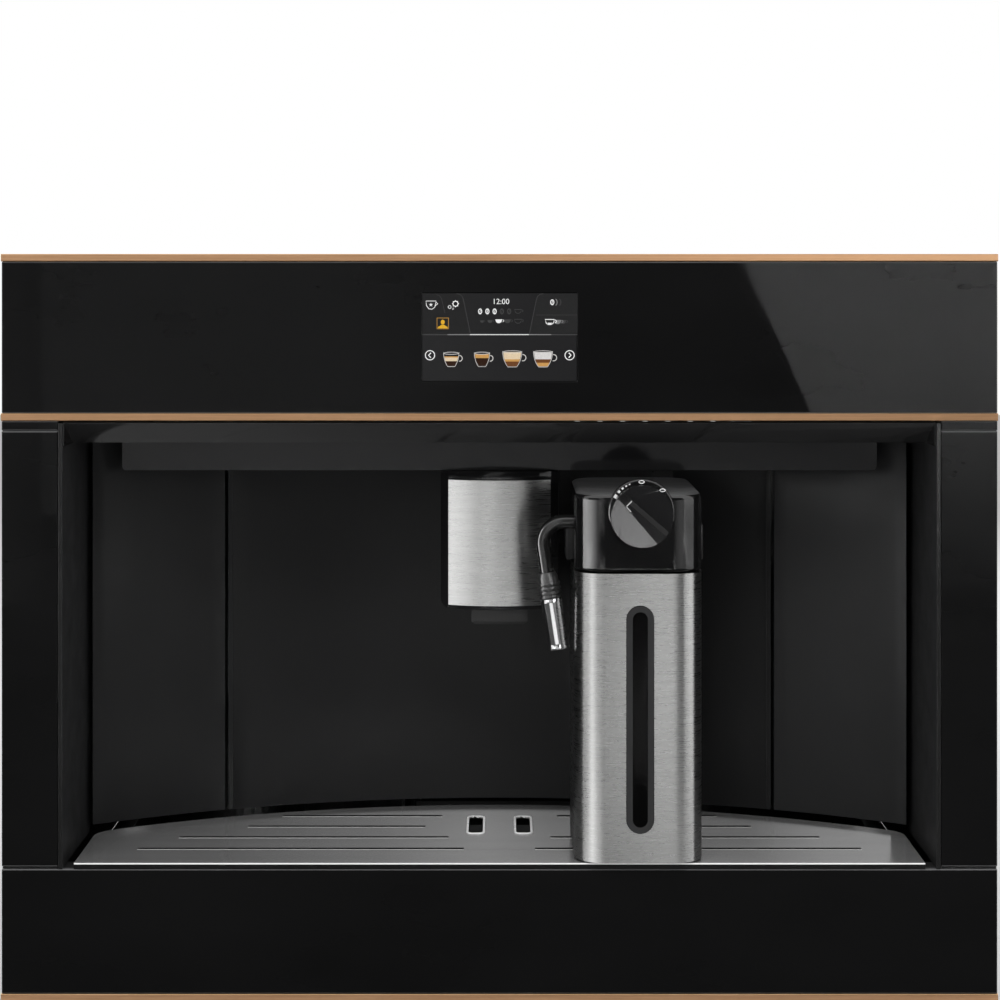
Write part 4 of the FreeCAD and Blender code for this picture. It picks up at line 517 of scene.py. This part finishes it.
def ui(u, v):
    """A place on the screen, from an eighth-pixel drawing grid, in facade millimetres."""
    x_px, y_px = UI_LEFT + u / UI_STEPS, UI_TOP + v / UI_STEPS
    return (x_px - PHOTO_MIDDLE) * PHOTO_SCALE, EYE_HEIGHT - (y_px - EYE_ROW) * PHOTO_SCALE


def ui_scale(length):
    """A length on the drawing grid in millimetres."""
    return length / UI_STEPS * PHOTO_SCALE


LIT = {
    "white": glow("lit_white", (0.93, 0.93, 0.93)),
    "grey": glow("lit_grey", (0.24, 0.24, 0.24)),
    "dim": glow("lit_dim", (0.055, 0.055, 0.055)),
    "panel": glow("lit_panel", (0.022, 0.022, 0.0225), 0.8),
    "amber": glow("lit_amber", (0.78, 0.44, 0.03)),
    "amber_edge": glow("lit_amber_edge", (0.45, 0.24, 0.05)),
    "cream": glow("lit_cream", (0.78, 0.62, 0.42)),
    "tan": glow("lit_tan", (0.62, 0.33, 0.10)),
    "brown": glow("lit_brown", (0.16, 0.06, 0.02)),
    "dark_brown": glow("lit_dark_brown", (0.03, 0.012, 0.006)),
    "foam": glow("lit_foam", (0.72, 0.70, 0.68)),
}


def ui_shape(name, points, color, layer=0):
    """Filled area of the drawing; a higher layer stands a little further out."""
    lift = LAYER_LIFT * layer
    return prism(name, [ui(u, v) for u, v in points], SCREEN_FRONT - lift, SCREEN_BACK - lift,
                 LIT[color])


def ui_line(name, points, width, color, layer=1, closed=False):
    """Line of the drawing."""
    lift = LAYER_LIFT * layer
    return band(name, [ui(u, v) for u, v in points], ui_scale(width), SCREEN_FRONT - lift,
                SCREEN_BACK - lift, LIT[color], closed)


def bean(name, u, v, color):
    """Outline of a coffee bean with its seam."""
    ui_line(name, oval(u, v, 13, 20, 24), 7, color, 1, True)
    ui_line(name + "_seam", [(u - 2, v - 17), (u + 3, v - 5), (u - 3, v + 6), (u + 2, v + 17)], 5,
            color, 2)


def small_cup(name, u, v, color, scale=1.0, filled=True):
    """Side view of a cup with its ear, filled or in outline."""
    half, deep = 28 * scale, 30 * scale
    bowl = [(u - half, v - deep / 2), (u - half * 0.72, v + deep * 0.25),
            (u - half * 0.3, v + deep / 2), (u + half * 0.3, v + deep / 2),
            (u + half * 0.72, v + deep * 0.25), (u + half, v - deep / 2)]
    if filled:
        ui_shape(name, [(a, b) for a, b in reversed(bowl)], color, 1)
    else:
        ui_line(name, bowl, 5 * scale, color, 1, True)
    ui_line(name + "_ear", oval(u + half * 1.08, v - deep * 0.12, 10 * scale, 8 * scale, 12,
                                -math.pi / 2, math.pi / 2), 4 * scale, color, 2)


def drink(name, u, v, width, height, layers):
    """Glass cup with its layers of coffee and milk, a handle and a foot."""
    half = width / 2

    def edge(t):
        """Half width of the cup at a share of its height, from the rim down."""
        return half * (1 - 0.52 * t ** 2.2)

    top = v - height / 2
    for index, (start, end, color) in enumerate(layers):
        steps = 8
        shares = [start + (end - start) * i / steps for i in range(steps + 1)]
        points = [(u + edge(s) * 0.93, top + s * height) for s in shares]
        points += [(u - edge(s) * 0.93, top + s * height) for s in reversed(shares)]
        ui_shape(f"{name}_layer_{index + 1}", list(reversed(points)), color, 1)
    rim = oval(u, top + 6, half * 0.94, 9, 28)
    ui_line(name + "_rim", rim, 4, "grey" if layers[0][2] == "brown" else "foam", 3, True)
    sides = [(u - edge(i / 10), top + i / 10 * height) for i in range(11)]
    sides += [(u + edge(i / 10), top + i / 10 * height) for i in range(10, -1, -1)]
    ui_line(name + "_glass", sides, 4, "foam" if layers[0][2] != "brown" else "grey", 2)
    ui_line(name + "_ear", oval(u + half * 1.12, v - height * 0.08, half * 0.32, height * 0.2, 16,
                                -math.pi * 0.55, math.pi * 0.6), 6, "foam", 2)
    ui_line(name + "_foot", [(u - half * 0.42, v + height / 2 + 2),
                             (u + half * 0.42, v + height / 2 + 2)], 5, "grey", 2)


def tab(name, mirrored):
    """Lighter panel on the left of the screen, or its mirror image on the right."""
    points = [(98, 68), (372, 68), (398, 74), (416, 90), (426, 112), (482, 386), (98, 386)]
    ridge = [(372, 68), (398, 74), (416, 90), (426, 112), (482, 386)]
    if mirrored:
        points = [(1438 - u, v) for u, v in reversed(points)]
        ridge = [(1438 - u, v) for u, v in ridge]
    ui_shape(name, list(reversed(points)), "panel")
    ui_line(name + "_ridge", ridge, 5, "dim", 1)


def draw_screen():
    """Everything lit on the screen, from the panels to the four drinks."""
    tab("screen_tab_left", False)
    tab("screen_tab_right", True)
    ui_line("screen_tab_seam", [(210, 76), (236, 86), (252, 108), (280, 225)], 4, "dim", 1)
    ui_line("screen_tab_line_right", [(1010, 240), (1338, 240)], 3, "dim", 1)
    ui_line("screen_divider", [(98, 397), (1340, 397)], 9, "dim", 1)
    ui_line("screen_divider_mid", [(300, 397), (1130, 397)], 7, "grey", 2)
    ui_line("screen_divider_core", [(480, 397), (950, 397)], 6, "white", 3)
    # star cup
    bowl = [(128, 128), (132, 165), (150, 190), (176, 194), (198, 178), (208, 128)]
    ui_line("screen_star_cup", bowl, 6, "white", 1, True)
    ui_line("screen_star_cup_ear", [(206, 136), (222, 150), (201, 166)], 6, "white", 1)
    star = []
    for i in range(10):
        reach = 17 if i % 2 == 0 else 7
        angle = math.pi / 2 + i * math.pi / 5
        star.append((167 + reach * math.cos(angle), 158 - reach * math.sin(angle)))
    ui_shape("screen_star", star, "white", 1)
    # gears
    for name, u, v, radius, teeth in (("screen_gear_large", 364, 150, 20, 8),
                                      ("screen_gear_small", 317, 176, 11, 7),
                                      ("screen_gear_tiny", 344, 190, 6, 6)):
        ui_line(name, oval(u, v, radius, radius, 28), radius * 0.34, "white", 1, True)
        for tooth in range(teeth):
            angle = 2 * math.pi * tooth / teeth
            near, far = radius * 1.1, radius * 1.4
            ui_line(f"{name}_tooth_{tooth + 1}",
                    [(u + near * math.cos(angle), v + near * math.sin(angle)),
                     (u + far * math.cos(angle), v + far * math.sin(angle))], radius * 0.34,
                    "white", 1)
    # user sign
    ui_line("screen_user_frame", [(216, 264), (308, 264), (308, 350), (216, 350)], 7, "amber_edge",
            1, True)
    ui_shape("screen_user_head", list(reversed(oval(262, 297, 16, 19, 24))), "amber", 1)
    ui_shape("screen_user_shoulders",
             [(222, 346), (302, 346), (300, 335), (284, 327), (272, 318), (252, 318), (240, 327),
              (224, 335)], "amber", 1)
    # clock digits
    text = bpy.data.curves.new("screen_clock", "FONT")
    text.body = "12:00"
    text.size = ui_scale(62) / 1000
    text.align_x = "CENTER"
    text.align_y = "CENTER"
    text.extrude = 0.00001
    clock = bpy.data.objects.new("screen_clock", text)
    x, z = ui(727, 134)
    clock.location = at(x, SCREEN_FRONT, z)
    clock.rotation_euler = (math.pi / 2, 0, 0)
    scene.collection.objects.link(clock)
    text.materials.append(LIT["white"])
    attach(clock, "machine")
    # strength and cup rows
    for i, color in enumerate(("white", "white", "white", "dim", "dim")):
        bean(f"screen_bean_{i + 1}", 561 + 58 * i, 211, color)
    small_cup("screen_row_cup_1", 576, 292, "dim", 0.6)
    small_cup("screen_row_cup_2", 640, 292, "dim", 0.75)
    small_cup("screen_row_cup_3", 710, 290, "white", 1.0)
    small_cup("screen_row_cup_4", 780, 290, "dim", 1.0)
    small_cup("screen_row_cup_5", 864, 290, "dim", 1.05, False)
    small_cup("screen_row_cup_6", 864, 211, "dim", 1.0, False)
    # right column
    bean("screen_strength_1", 1138, 138, "white")
    for i in range(2):
        ui_line(f"screen_strength_{i + 2}",
                oval(1164 + 30 * i, 138, 13, 24, 14, -math.pi / 2, math.pi / 2), 7,
                "grey" if i == 0 else "dim", 1)
    small_cup("screen_amount_1", 1118, 296, "white", 1.35, False)
    ui_shape("screen_amount_fill", [(1100, 302), (1136, 302), (1128, 314), (1108, 314)], "white", 1)
    small_cup("screen_amount_2", 1180, 296, "grey", 1.1)
    small_cup("screen_amount_3", 1222, 296, "dim", 1.0)
    # arrows
    for name, u, way in (("screen_back", 160, -1), ("screen_next", 1277, 1)):
        ui_line(name + "_ring", oval(u, 562, 37, 37, 40), 7, "white", 1, True)
        ui_line(name + "_arrow", [(u - 7 * way, 543), (u + 12 * way, 562), (u - 7 * way, 581)], 9,
                "white", 1)
    # drinks
    drink("screen_drink_1", 330, 596, 122, 112,
          [(0.28, 0.36, "tan"), (0.36, 0.62, "cream"), (0.62, 0.97, "dark_brown")])
    drink("screen_drink_2", 576, 596, 122, 112,
          [(0.12, 0.40, "tan"), (0.40, 0.97, "dark_brown")])
    drink("screen_drink_3", 818, 592, 152, 126,
          [(0.06, 0.52, "cream"), (0.52, 0.66, "tan"), (0.66, 0.97, "brown")])
    drink("screen_drink_4", 1064, 592, 152, 126,
          [(0.06, 0.52, "foam"), (0.52, 0.74, "brown"), (0.74, 0.97, "tan")])


draw_screen()


# ---------------------------------------------------------------- lid and knob marks

KNOB_X, KNOB_Z = 84.5, 291.8
RING_RISE = 1.8
KNOB_ANGLE = math.radians(45)
RING_FACE, RING_BACK = -10.03, -9.9
GRIP_HIGHLIGHT_FACE, GRIP_HIGHLIGHT_BACK = -25.03, -24.9
MARK_RADIUS = 18.3


def knob_marks():
    """White marks on the fixed ring, and a painted highlight along the edges at the upper end of the
    knob's grip.
    """
    centre_z = KNOB_Z + RING_RISE
    for index, (degrees, span, width) in enumerate(((113, 3, 0.5), (120, 3.5, 0.8), (128, 4, 1.1),
                                                    (137, 5, 1.4), (148, 7, 1.7))):
        start = math.radians(degrees - span / 2)
        end = math.radians(degrees + span / 2)
        arc = oval(KNOB_X, centre_z, MARK_RADIUS, MARK_RADIUS, 4, start, end)
        band(f"ring_mark_{index + 1}", arc, width, RING_FACE, RING_BACK, MAT["white_mark"],
             body="milk_jug")
    for index, degrees in enumerate((90, 47)):
        angle = math.radians(degrees)
        x = KNOB_X + MARK_RADIUS * math.cos(angle)
        z = centre_z + MARK_RADIUS * math.sin(angle)
        band(f"ring_drop_{index + 1}", oval(x, z, 1.6, 0.8, 20), 0.45, RING_FACE, RING_BACK,
             MAT["white_mark"], True, "milk_jug")
    # a grey L along the edges at the upper end of the grip: painted highlight
    for name, corners in (("grip_highlight_end", ((-2.4, 12.1), (2.4, 12.1), (2.4, 11.5), (-2.4, 11.5))),
                          ("grip_highlight_side", ((-2.4, 12.1), (-1.9, 12.1), (-2.1, 7.6), (-2.6, 7.6)))):
        turned = [(KNOB_X + x * math.cos(KNOB_ANGLE) - z * math.sin(KNOB_ANGLE),
                   KNOB_Z + x * math.sin(KNOB_ANGLE) + z * math.cos(KNOB_ANGLE))
                  for x, z in corners]
        prism(name, list(reversed(turned)), GRIP_HIGHLIGHT_FACE, GRIP_HIGHLIGHT_BACK, MAT["grip_highlight_mark"],
              "froth_knob")


knob_marks()


# ---------------------------------------------------------------- painted highlights and shadows at the slots, and screws

def block(name, low, high, material, body="machine"):
    """Straight-sided piece between two corners in the row frame, in metres."""
    xs, ys, zs = zip(low, high)
    verts = [(x, y, z) for z in zs for y in ys for x in xs]
    faces = [(0, 2, 3, 1), (4, 5, 7, 6), (0, 1, 5, 4), (2, 6, 7, 3), (0, 4, 6, 2), (1, 3, 7, 5)]
    return mesh_piece(name, verts, faces, material, body)


# each row of slots in the cup grid: its depth, and its start and end to either side of the middle
GRID_ROWS = ((35.3, 21.8, 222.2), (65.2, 31.9, 200.6), (94.2, 47.3, 160.6), (123.9, 37.3, 141.2))
HIGHLIGHT_STRIP_FROM, HIGHLIGHT_STRIP_WIDE = -2.3, 0.8
SHADOW_STRIP_FROM, SHADOW_STRIP_WIDE = 1.5, 1.1
PAINT_STRIP_RISE, PAINT_STRIP_SUNK = 0.05, 0.05


def slot_highlight_and_shadow_strips():
    """Painted strips at each slot of the cup grid: a bright one in front as the pressed edge's
    painted highlight, a dark one behind as its painted shadow.
    """
    low, high = GRID_TOP - PAINT_STRIP_SUNK, GRID_TOP + PAINT_STRIP_RISE
    for row, (y, start, end) in enumerate(GRID_ROWS):
        for side, left, right in (("left", -end, -start), ("right", start, end)):
            # the bright strip in front of a slot is its painted highlight, the dark strip behind it
            # its painted shadow
            for place, offset, wide, finish_name in (
                    ("front", HIGHLIGHT_STRIP_FROM, HIGHLIGHT_STRIP_WIDE, "grid_painted_highlight"),
                    ("rear", SHADOW_STRIP_FROM, SHADOW_STRIP_WIDE, "slot")):
                block(f"slot_{row + 1}_{side}_{place}", at(left, y + offset, low),
                      at(right, y + offset + wide, high), MAT[finish_name])


SCREW_RADIUS = 3.6
SCREW_PROFILE = ((1.0, 0.0), (1.0, 0.5), (0.86, 1.1), (0.55, 1.45))
SCREW_SIDES = 28
RECESS_LONG, RECESS_WIDE = 2.6, 0.6
RECESS_LOW, RECESS_HIGH = 1.3, 1.49


def screw(name, centre, outward):
    """Pan-head screw with a cross recess, standing on a surface that faces outward."""
    centre = Vector(centre)
    turn = Vector(outward).to_track_quat("Z", "Y").to_matrix()
    verts, faces = [], []
    for share, lift in SCREW_PROFILE:
        for i in range(SCREW_SIDES):
            angle = 2 * math.pi * i / SCREW_SIDES
            reach = share * SCREW_RADIUS
            local = Vector((reach * math.cos(angle), reach * math.sin(angle), lift))
            verts.append(centre + turn @ local / 1000)
    for ring in range(len(SCREW_PROFILE) - 1):
        a, b = ring * SCREW_SIDES, (ring + 1) * SCREW_SIDES
        for i in range(SCREW_SIDES):
            j = (i + 1) % SCREW_SIDES
            faces.append((a + i, a + j, b + j, b + i))
    faces.append(tuple(range(len(verts) - SCREW_SIDES, len(verts))))
    mesh_piece(name, verts, faces, MAT["screw"])
    # the cross recess is a deep black box: painted shade in the recess
    for index, (wide, tall) in enumerate(((RECESS_LONG, RECESS_WIDE), (RECESS_WIDE, RECESS_LONG))):
        corners = [(-wide / 2, -tall / 2), (wide / 2, -tall / 2), (wide / 2, tall / 2),
                   (-wide / 2, tall / 2)]
        cross = [centre + turn @ Vector((x, y, z)) / 1000 for z in (RECESS_LOW, RECESS_HIGH)
                 for x, y in corners]
        mesh_piece(f"{name}_recess_{index + 1}", cross,
                   [(3, 2, 1, 0), (4, 5, 6, 7), (0, 1, 5, 4), (1, 2, 6, 5), (2, 3, 7, 6),
                    (3, 0, 4, 7)], MAT["hole"])


SCREW_INSET = 0.012
SIDE_SCREW_Z = 0.062


def cover_screws():
    """Screws along the edges of the rear, top and side covers."""
    low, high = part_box("rear_cover")
    left, right, top = low.x + SCREW_INSET, high.x - SCREW_INSET, high.z - SCREW_INSET
    for i, (x, z) in enumerate(((left, top), (0, top), (right, top), (left, 0.23), (right, 0.23),
                                (left, 0.075), (right, 0.075), (0.02, 0.035))):
        screw(f"rear_screw_{i + 1}", (x, high.y, z), (0, 1, 0))
    low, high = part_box("top_cover")
    left, right = low.x + SCREW_INSET, high.x - SCREW_INSET
    for i, (x, y) in enumerate(((left, low.y + 0.06), (right, low.y + 0.06), (left, -0.04),
                                (right, -0.04), (left, high.y - 0.06), (right, high.y - 0.06))):
        screw(f"top_screw_{i + 1}", (x, y, high.z), (0, 0, 1))
    for side, node, way in (("left", "side_cover_left", -1), ("right", "side_cover_right", 1)):
        low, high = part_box(node)
        x = low.x if way < 0 else high.x
        for i, (y, z) in enumerate(((low.y + 0.03, SIDE_SCREW_Z), (0.02, SIDE_SCREW_Z),
                                    (high.y - 0.03, SIDE_SCREW_Z), (low.y + SCREW_INSET, 0.25))):
            screw(f"side_screw_{side}_{i + 1}", (x, y, z), (way, 0, 0))


slot_highlight_and_shadow_strips()
cover_screws()


# ---------------------------------------------------------------- floor, light and camera

def stage_material(name, low, high):
    """Matt finish of the floor, slightly clouded."""
    finish = Finish(name).set(spec=0.2, rough=0.7)
    finish.tint(finish.noise(3, 4), low, high)
    return finish.mat


floor_mesh = bpy.data.meshes.new("floor")
floor_mesh.from_pydata([(-6, -6, 0), (6, -6, 0), (6, 6, 0), (-6, 6, 0)], [], [(0, 1, 2, 3)])
floor = bpy.data.objects.new("floor", floor_mesh)
scene.collection.objects.link(floor)
floor_mesh.materials.append(stage_material("pale_floor", (0.74, 0.74, 0.74), (0.78, 0.78, 0.78)))


BOARD_STRENGTH = 2.0


def upright(start, end, low, high):
    """Corners of a standing board between two places on the floor plan."""
    return [(*start, low), (*end, low), (*end, high), (*start, high)]


def lying(left, front, right, back, height):
    """Corners of a level board."""
    return [(left, front, height), (right, front, height), (right, back, height),
            (left, back, height)]


def card(name, corners, shade, diffuse=True, faces=((0, 1, 2, 3),), clear=False):
    """Glowing board that lights the scene and shows in gloss, but not to the camera.

    A clear one adds its glow to what lies behind it, at the first mirroring only.
    """
    mesh = bpy.data.meshes.new(name)
    mesh.from_pydata(corners, [], faces)
    mesh.uv_layers.new(name="across")
    for loop, uv in zip(mesh.uv_layers["across"].data, ((0, 0), (1, 0), (1, 1), (0, 1))):
        loop.uv = uv
    obj = bpy.data.objects.new(name, mesh)
    scene.collection.objects.link(obj)
    mat = bpy.data.materials.new(name)
    mat.use_nodes = True
    tree = mat.node_tree
    tree.nodes.clear()
    out = tree.nodes.new("ShaderNodeOutputMaterial")
    emit = tree.nodes.new("ShaderNodeEmission")
    tree.links.new(emit.outputs[0], out.inputs["Surface"])
    shade(tree, emit)
    if clear:
        depth = tree.nodes.new("ShaderNodeLightPath").outputs["Glossy Depth"]
        first = tree.nodes.new("ShaderNodeMath")
        first.operation = "LESS_THAN"
        first.inputs[1].default_value = 1.5
        tree.links.new(depth, first.inputs[0])
        power = tree.nodes.new("ShaderNodeMath")
        power.operation = "MULTIPLY"
        power.inputs[1].default_value = emit.inputs["Strength"].default_value
        tree.links.new(first.outputs[0], power.inputs[0])
        tree.links.new(power.outputs[0], emit.inputs["Strength"])
        both = tree.nodes.new("ShaderNodeAddShader")
        tree.links.new(emit.outputs[0], both.inputs[0])
        tree.links.new(tree.nodes.new("ShaderNodeBsdfTransparent").outputs[0], both.inputs[1])
        tree.links.new(both.outputs[0], out.inputs["Surface"])
    mesh.materials.append(mat)
    obj.visible_camera = False
    obj.visible_diffuse = diffuse
    obj.visible_shadow = False
    return obj


def level(strength):
    """The same strength all over the card."""
    def shade(tree, emit):
        emit.inputs["Strength"].default_value = strength
    return shade


def fade(axis, *stops):
    """Strength that changes along the card."""
    def shade(tree, emit):
        uv = tree.nodes.new("ShaderNodeUVMap")
        split = tree.nodes.new("ShaderNodeSeparateXYZ")
        ramp = tree.nodes.new("ShaderNodeValToRGB")
        while len(ramp.color_ramp.elements) < len(stops):
            ramp.color_ramp.elements.new(0.5)
        for element, (place, value) in zip(ramp.color_ramp.elements, stops):
            element.position = place
            element.color = (value, value, value, 1)
        tree.links.new(uv.outputs[0], split.inputs[0])
        tree.links.new(split.outputs[axis], ramp.inputs[0])
        tree.links.new(ramp.outputs[0], emit.inputs["Color"])
        emit.inputs["Strength"].default_value = BOARD_STRENGTH
    return shade


def only_for(light, members, state="INCLUDE"):
    """Limit a light to some sub-parts, or keep it off them."""
    group = bpy.data.collections.new(light.name + "_group")
    for member in members:
        group.objects.link(nodes[member])
    light.light_linking.receiver_collection = group
    for entry in group.collection_objects:
        entry.light_linking.link_state = state
    return light


TENTED = ("jug_sleeve", "jug_window", "milk_lid", "dial_ring", "froth_knob", "spout_cover",
          "spout_head", "milk_pipe")
NICHE = ("back_panel_left", "service_door", "niche_lip", "trim_middle", "trim_bottom", "trim_top")

# dark board far in front, which the black glass mirrors
card("front_flag", upright((-3, -3.3), (3, -3.3), -0.6, 3),
     fade(0, (0.0, 0.28), (0.45, 0.22), (0.478, 0.15), (0.512, 0.01), (1.0, 0.01)), diffuse=False)
# dark cloths just above the floor, which only the gloss sees
for name, left, front, right, back, shade in (
        ("near_cloth", -0.7, -0.88, 0.7, -0.25, 0.08), ("far_cloth", -1.6, -3.2, 1.6, -1.63, 0.16),
        ("left_cloth", -1.2, -1.63, -0.35, -0.88, 0.12),
        ("right_cloth", 0.35, -1.63, 1.2, -0.88, 0.12)):
    cloth = card(name, lying(left, front, right, back, 0.001), level(shade), diffuse=False)
    only_for(cloth, ("milk_lid", "dial_ring", "froth_knob", "trim_bottom"), "EXCLUDE")
# soft box on the left, brighter away from the middle
left_box = card("left_box", upright((-2.1, -1.1), (-0.62, -2.0), -0.1, 1.5),
                fade(0, (0.0, 1.0), (0.55, 0.8), (1.0, 0.12)))
only_for(left_box, TENTED, "EXCLUDE")
# soft box on the right; its slanting edge crosses the upper glass
right_box = card("right_box", [(0.541, -1.83, -0.05), (1.7, -1.83, -0.05), (1.7, -1.83, 1.6),
                               (-0.20, -1.83, 1.6)],
                 fade(1, (0.0, 0.0), (0.042, 0.08), (0.119, 0.40), (0.17, 0.85), (0.218, 1.2),
                      (0.279, 1.42), (1.0, 1.45)))
only_for(right_box, TENTED + NICHE, "EXCLUDE")


def tent(name, centre, radius, low, high, glow_by_bearing, members, ahead=-1):
    """Curved board round a sub-part, as bright at each bearing as the list says.

    Bearings are degrees to the left of straight ahead, or of straight behind where ahead is 1;
    only the named sub-parts see the board.
    """
    steps = 40
    start, end = glow_by_bearing[0][0], glow_by_bearing[-1][0]
    verts, faces = [], []
    for i in range(steps + 1):
        bearing = math.radians(start + (end - start) * i / steps)
        x = centre[0] - radius * math.sin(bearing)
        y = centre[1] + ahead * radius * math.cos(bearing)
        verts += [(x, y, low), (x, y, high)]
        if i:
            faces.append((2 * i - 2, 2 * i, 2 * i + 1, 2 * i - 1))
    stops = [((bearing - start) / (end - start), value / BOARD_STRENGTH)
             for bearing, value in glow_by_bearing]
    board = card(name, verts, fade(0, *stops), diffuse=False, faces=faces, clear=True)
    layer = board.data.uv_layers["across"].data
    for i, face in enumerate(board.data.polygons):
        for loop, far in zip(face.loop_indices, (0, 1, 1, 0)):
            layer[loop].uv = ((i + far) / steps, 0)
    return only_for(board, members)


tent("jug_tent", (0.085, -0.23), 0.33, 0.002, 0.42,
     ((108, 0.02), (90, 0.02), (77, 0.15), (67, 0.5), (54, 1.5), (38, 0.85), (25, 0.25),
      (12, 0.06), (3, 0.04), (-5, 0.62), (-14, 0.45), (-28, 0.24), (-45, 0.08), (-62, 0.15),
      (-80, 0.42), (-95, 0.12), (-110, 0.02)), ("jug_sleeve",))
tent("lid_tent", (0.085, -0.23), 0.9, 0.002, 0.45,
     ((104, 0.2), (92, 2.0), (80, 2.6), (60, 2.9), (43, 1.6), (27, 0.4), (14, 0.03), (4, 0.0),
      (-8, 0.03), (-18, 0.3), (-36, 0.5), (-54, 0.25), (-68, 0.06), (-88, 0.08), (-110, 0.0)),
     ("milk_lid", "dial_ring"))
tent("spout_tent", (0.0, -0.16), 0.45, 0.002, 0.6,
     ((88, 0.3), (63, 1.3), (53, 1.4), (43, 1.4), (32, 1.05), (21, 0.68), (10, 0.5), (0, 0.42),
      (-11, 0.42), (-21, 0.48), (-29, 0.36), (-37, 0.03), (-70, 0.0)), ("spout_cover",))
# board along the niche's curved back wall for the cup grid
tent("grid_tent", (0.0, -0.525), 0.454, 0.089, 0.25,
     ((33, 0.0), (24, 0.03), (15, 0.14), (10, 0.2), (3, 0.36), (1, 0.38), (-4, 0.28), (-21, 0.2),
      (-27, 0.4), (-33, 0.5)),
     ("tray_grid",), ahead=1)
# glow on the floor in front of the jug, for its lower end
jug_floor = card("jug_floor", lying(-0.25, -0.56, 0.42, -0.24, 0.003),
                 fade(0, (0.0, 0.7), (0.36, 0.6), (0.46, 0.12), (0.52, 0.15), (0.58, 0.28),
                      (1.0, 0.18)), diffuse=False, clear=True)
only_for(jug_floor, ("jug_sleeve",))
tent("pipe_tent", (0.03, -0.2), 0.5, 0.002, 0.6,
     ((120, 0.0), (98, 0.5), (86, 6.5), (78, 6.5), (66, 0.4), (40, 0.3), (10, 0.3), (-20, 0.0),
      (-90, 0.0)), ("milk_pipe", "pipe_collar"))
# board along the back wall for the sloping lip, and one in front for the canopy; both fade
# to the right
tent("lip_tent", (0.0, -0.525), 0.45, 0.095, 0.31, ((34, 0.15), (15, 0.09), (0, 0.045), (-34, 0.0)),
     ("niche_lip",), ahead=1)
canopy_board = card("canopy_board", upright((-0.7, -1.2), (0.7, -1.2), 0.1, 0.45),
                    fade(0, (0.2, 0.15), (0.5, 0.11), (0.75, 0.0)), diffuse=False, clear=True)
only_for(canopy_board, ("canopy",))
# boards for the copper strips, brighter towards the right
for name, members, low, high, left, middle, right, end in (
        ("upper_strip_board", ("trim_top",), 0.385, 0.8, 0.14, 0.34, 0.48, 1.3),
        ("lower_strip_board", ("trim_middle", "trim_bottom"), 0.05, 0.38, 0.11, 0.36, 0.42, 0.46)):
    strip_board = card(name, upright((-0.9, -1.42), (0.9, -1.42), low, high),
                       fade(0, (0.23, left), (0.5, middle), (0.6, right), (0.67, end)),
                       diffuse=False, clear=True)
    only_for(strip_board, members)
# board high on the right for the upper edge of the knob's grip
grip_board = card("grip_board", upright((0.45, -0.9), (1.0, -0.6), 0.62, 1.3), level(6.0),
                  diffuse=False, clear=True)
only_for(grip_board, ("froth_knob",))
# low board whose glow runs down, for the lower half of the knob
knob_board = card("knob_board", upright((-0.25, -0.62), (0.22, -0.62), 0.06, 0.19),
                  fade(1, (0.0, 0.95), (0.5, 0.9), (0.85, 0.15), (1.0, 0.0)), diffuse=False,
                  clear=True)
only_for(knob_board, ("froth_knob",))


def lamp(name, place, aim, size, power):
    """Rectangular lamp turned to a place; gloss doesn't show it."""
    data = bpy.data.lights.new(name, "AREA")
    data.shape = "RECTANGLE"
    data.size, data.size_y = size
    data.energy = power
    obj = bpy.data.objects.new(name, data)
    obj.location = place
    obj.rotation_euler = (Vector(aim) - Vector(place)).to_track_quat("-Z", "Y").to_euler()
    obj.visible_glossy = False
    scene.collection.objects.link(obj)
    return obj


lamp("top_light", (-0.2, -1.3, 1.9), (0, -0.1, 0.25), (1.6, 1.0), 26)
lamp("rear_light", (0.6, 1.8, 1.5), (0, 0.1, 0.2), (1.6, 1.2), 16)

# a lamp for the top of the milk lid alone, which the canopy doesn't shade
lid_lamp = lamp("lid_lamp", (0.1, -0.35, 0.9), (0.085, -0.17, 0.3), (0.4, 0.4), 1.6)
only_for(lid_lamp, ("milk_lid",))
blockers = bpy.data.collections.new("lid_lamp_blockers")
for member in ("dial_ring", "froth_knob"):
    blockers.objects.link(nodes[member])
lid_lamp.light_linking.blocker_collection = blockers

SKY_ON_MATT, SKY_SEEN = 0.55, 1.0

# white surroundings, full to the camera, to gloss and through plastic, and dimmer as light
world = bpy.data.worlds.new("studio")
scene.world = world
world.use_nodes = True
tree = world.node_tree
background = tree.nodes["Background"]
background.inputs["Color"].default_value = (1, 1, 1, 1)
path = tree.nodes.new("ShaderNodeLightPath")
seen = tree.nodes.new("ShaderNodeMath")
seen.operation = "MAXIMUM"
tree.links.new(path.outputs["Is Camera Ray"], seen.inputs[0])
tree.links.new(path.outputs["Is Transmission Ray"], seen.inputs[1])
also = tree.nodes.new("ShaderNodeMath")
also.operation = "MAXIMUM"
tree.links.new(seen.outputs[0], also.inputs[0])
tree.links.new(path.outputs["Is Glossy Ray"], also.inputs[1])
strength = tree.nodes.new("ShaderNodeMapRange")
strength.inputs["To Min"].default_value = SKY_ON_MATT
strength.inputs["To Max"].default_value = SKY_SEEN
tree.links.new(also.outputs[0], strength.inputs["Value"])
tree.links.new(strength.outputs["Result"], background.inputs["Strength"])

camera_data = bpy.data.cameras.new("camera")
camera_data.lens = 85
camera_data.sensor_width = 36
camera_data.shift_x = 0.0005
camera_data.shift_y = -0.220
camera_data.clip_start = 0.01
camera = bpy.data.objects.new("camera", camera_data)
camera.location = at(0, -EYE_DISTANCE, EYE_HEIGHT)
camera.rotation_euler = (math.pi / 2, 0, 0)
scene.collection.objects.link(camera)
scene.camera = camera

scene.view_settings.view_transform = "Standard"
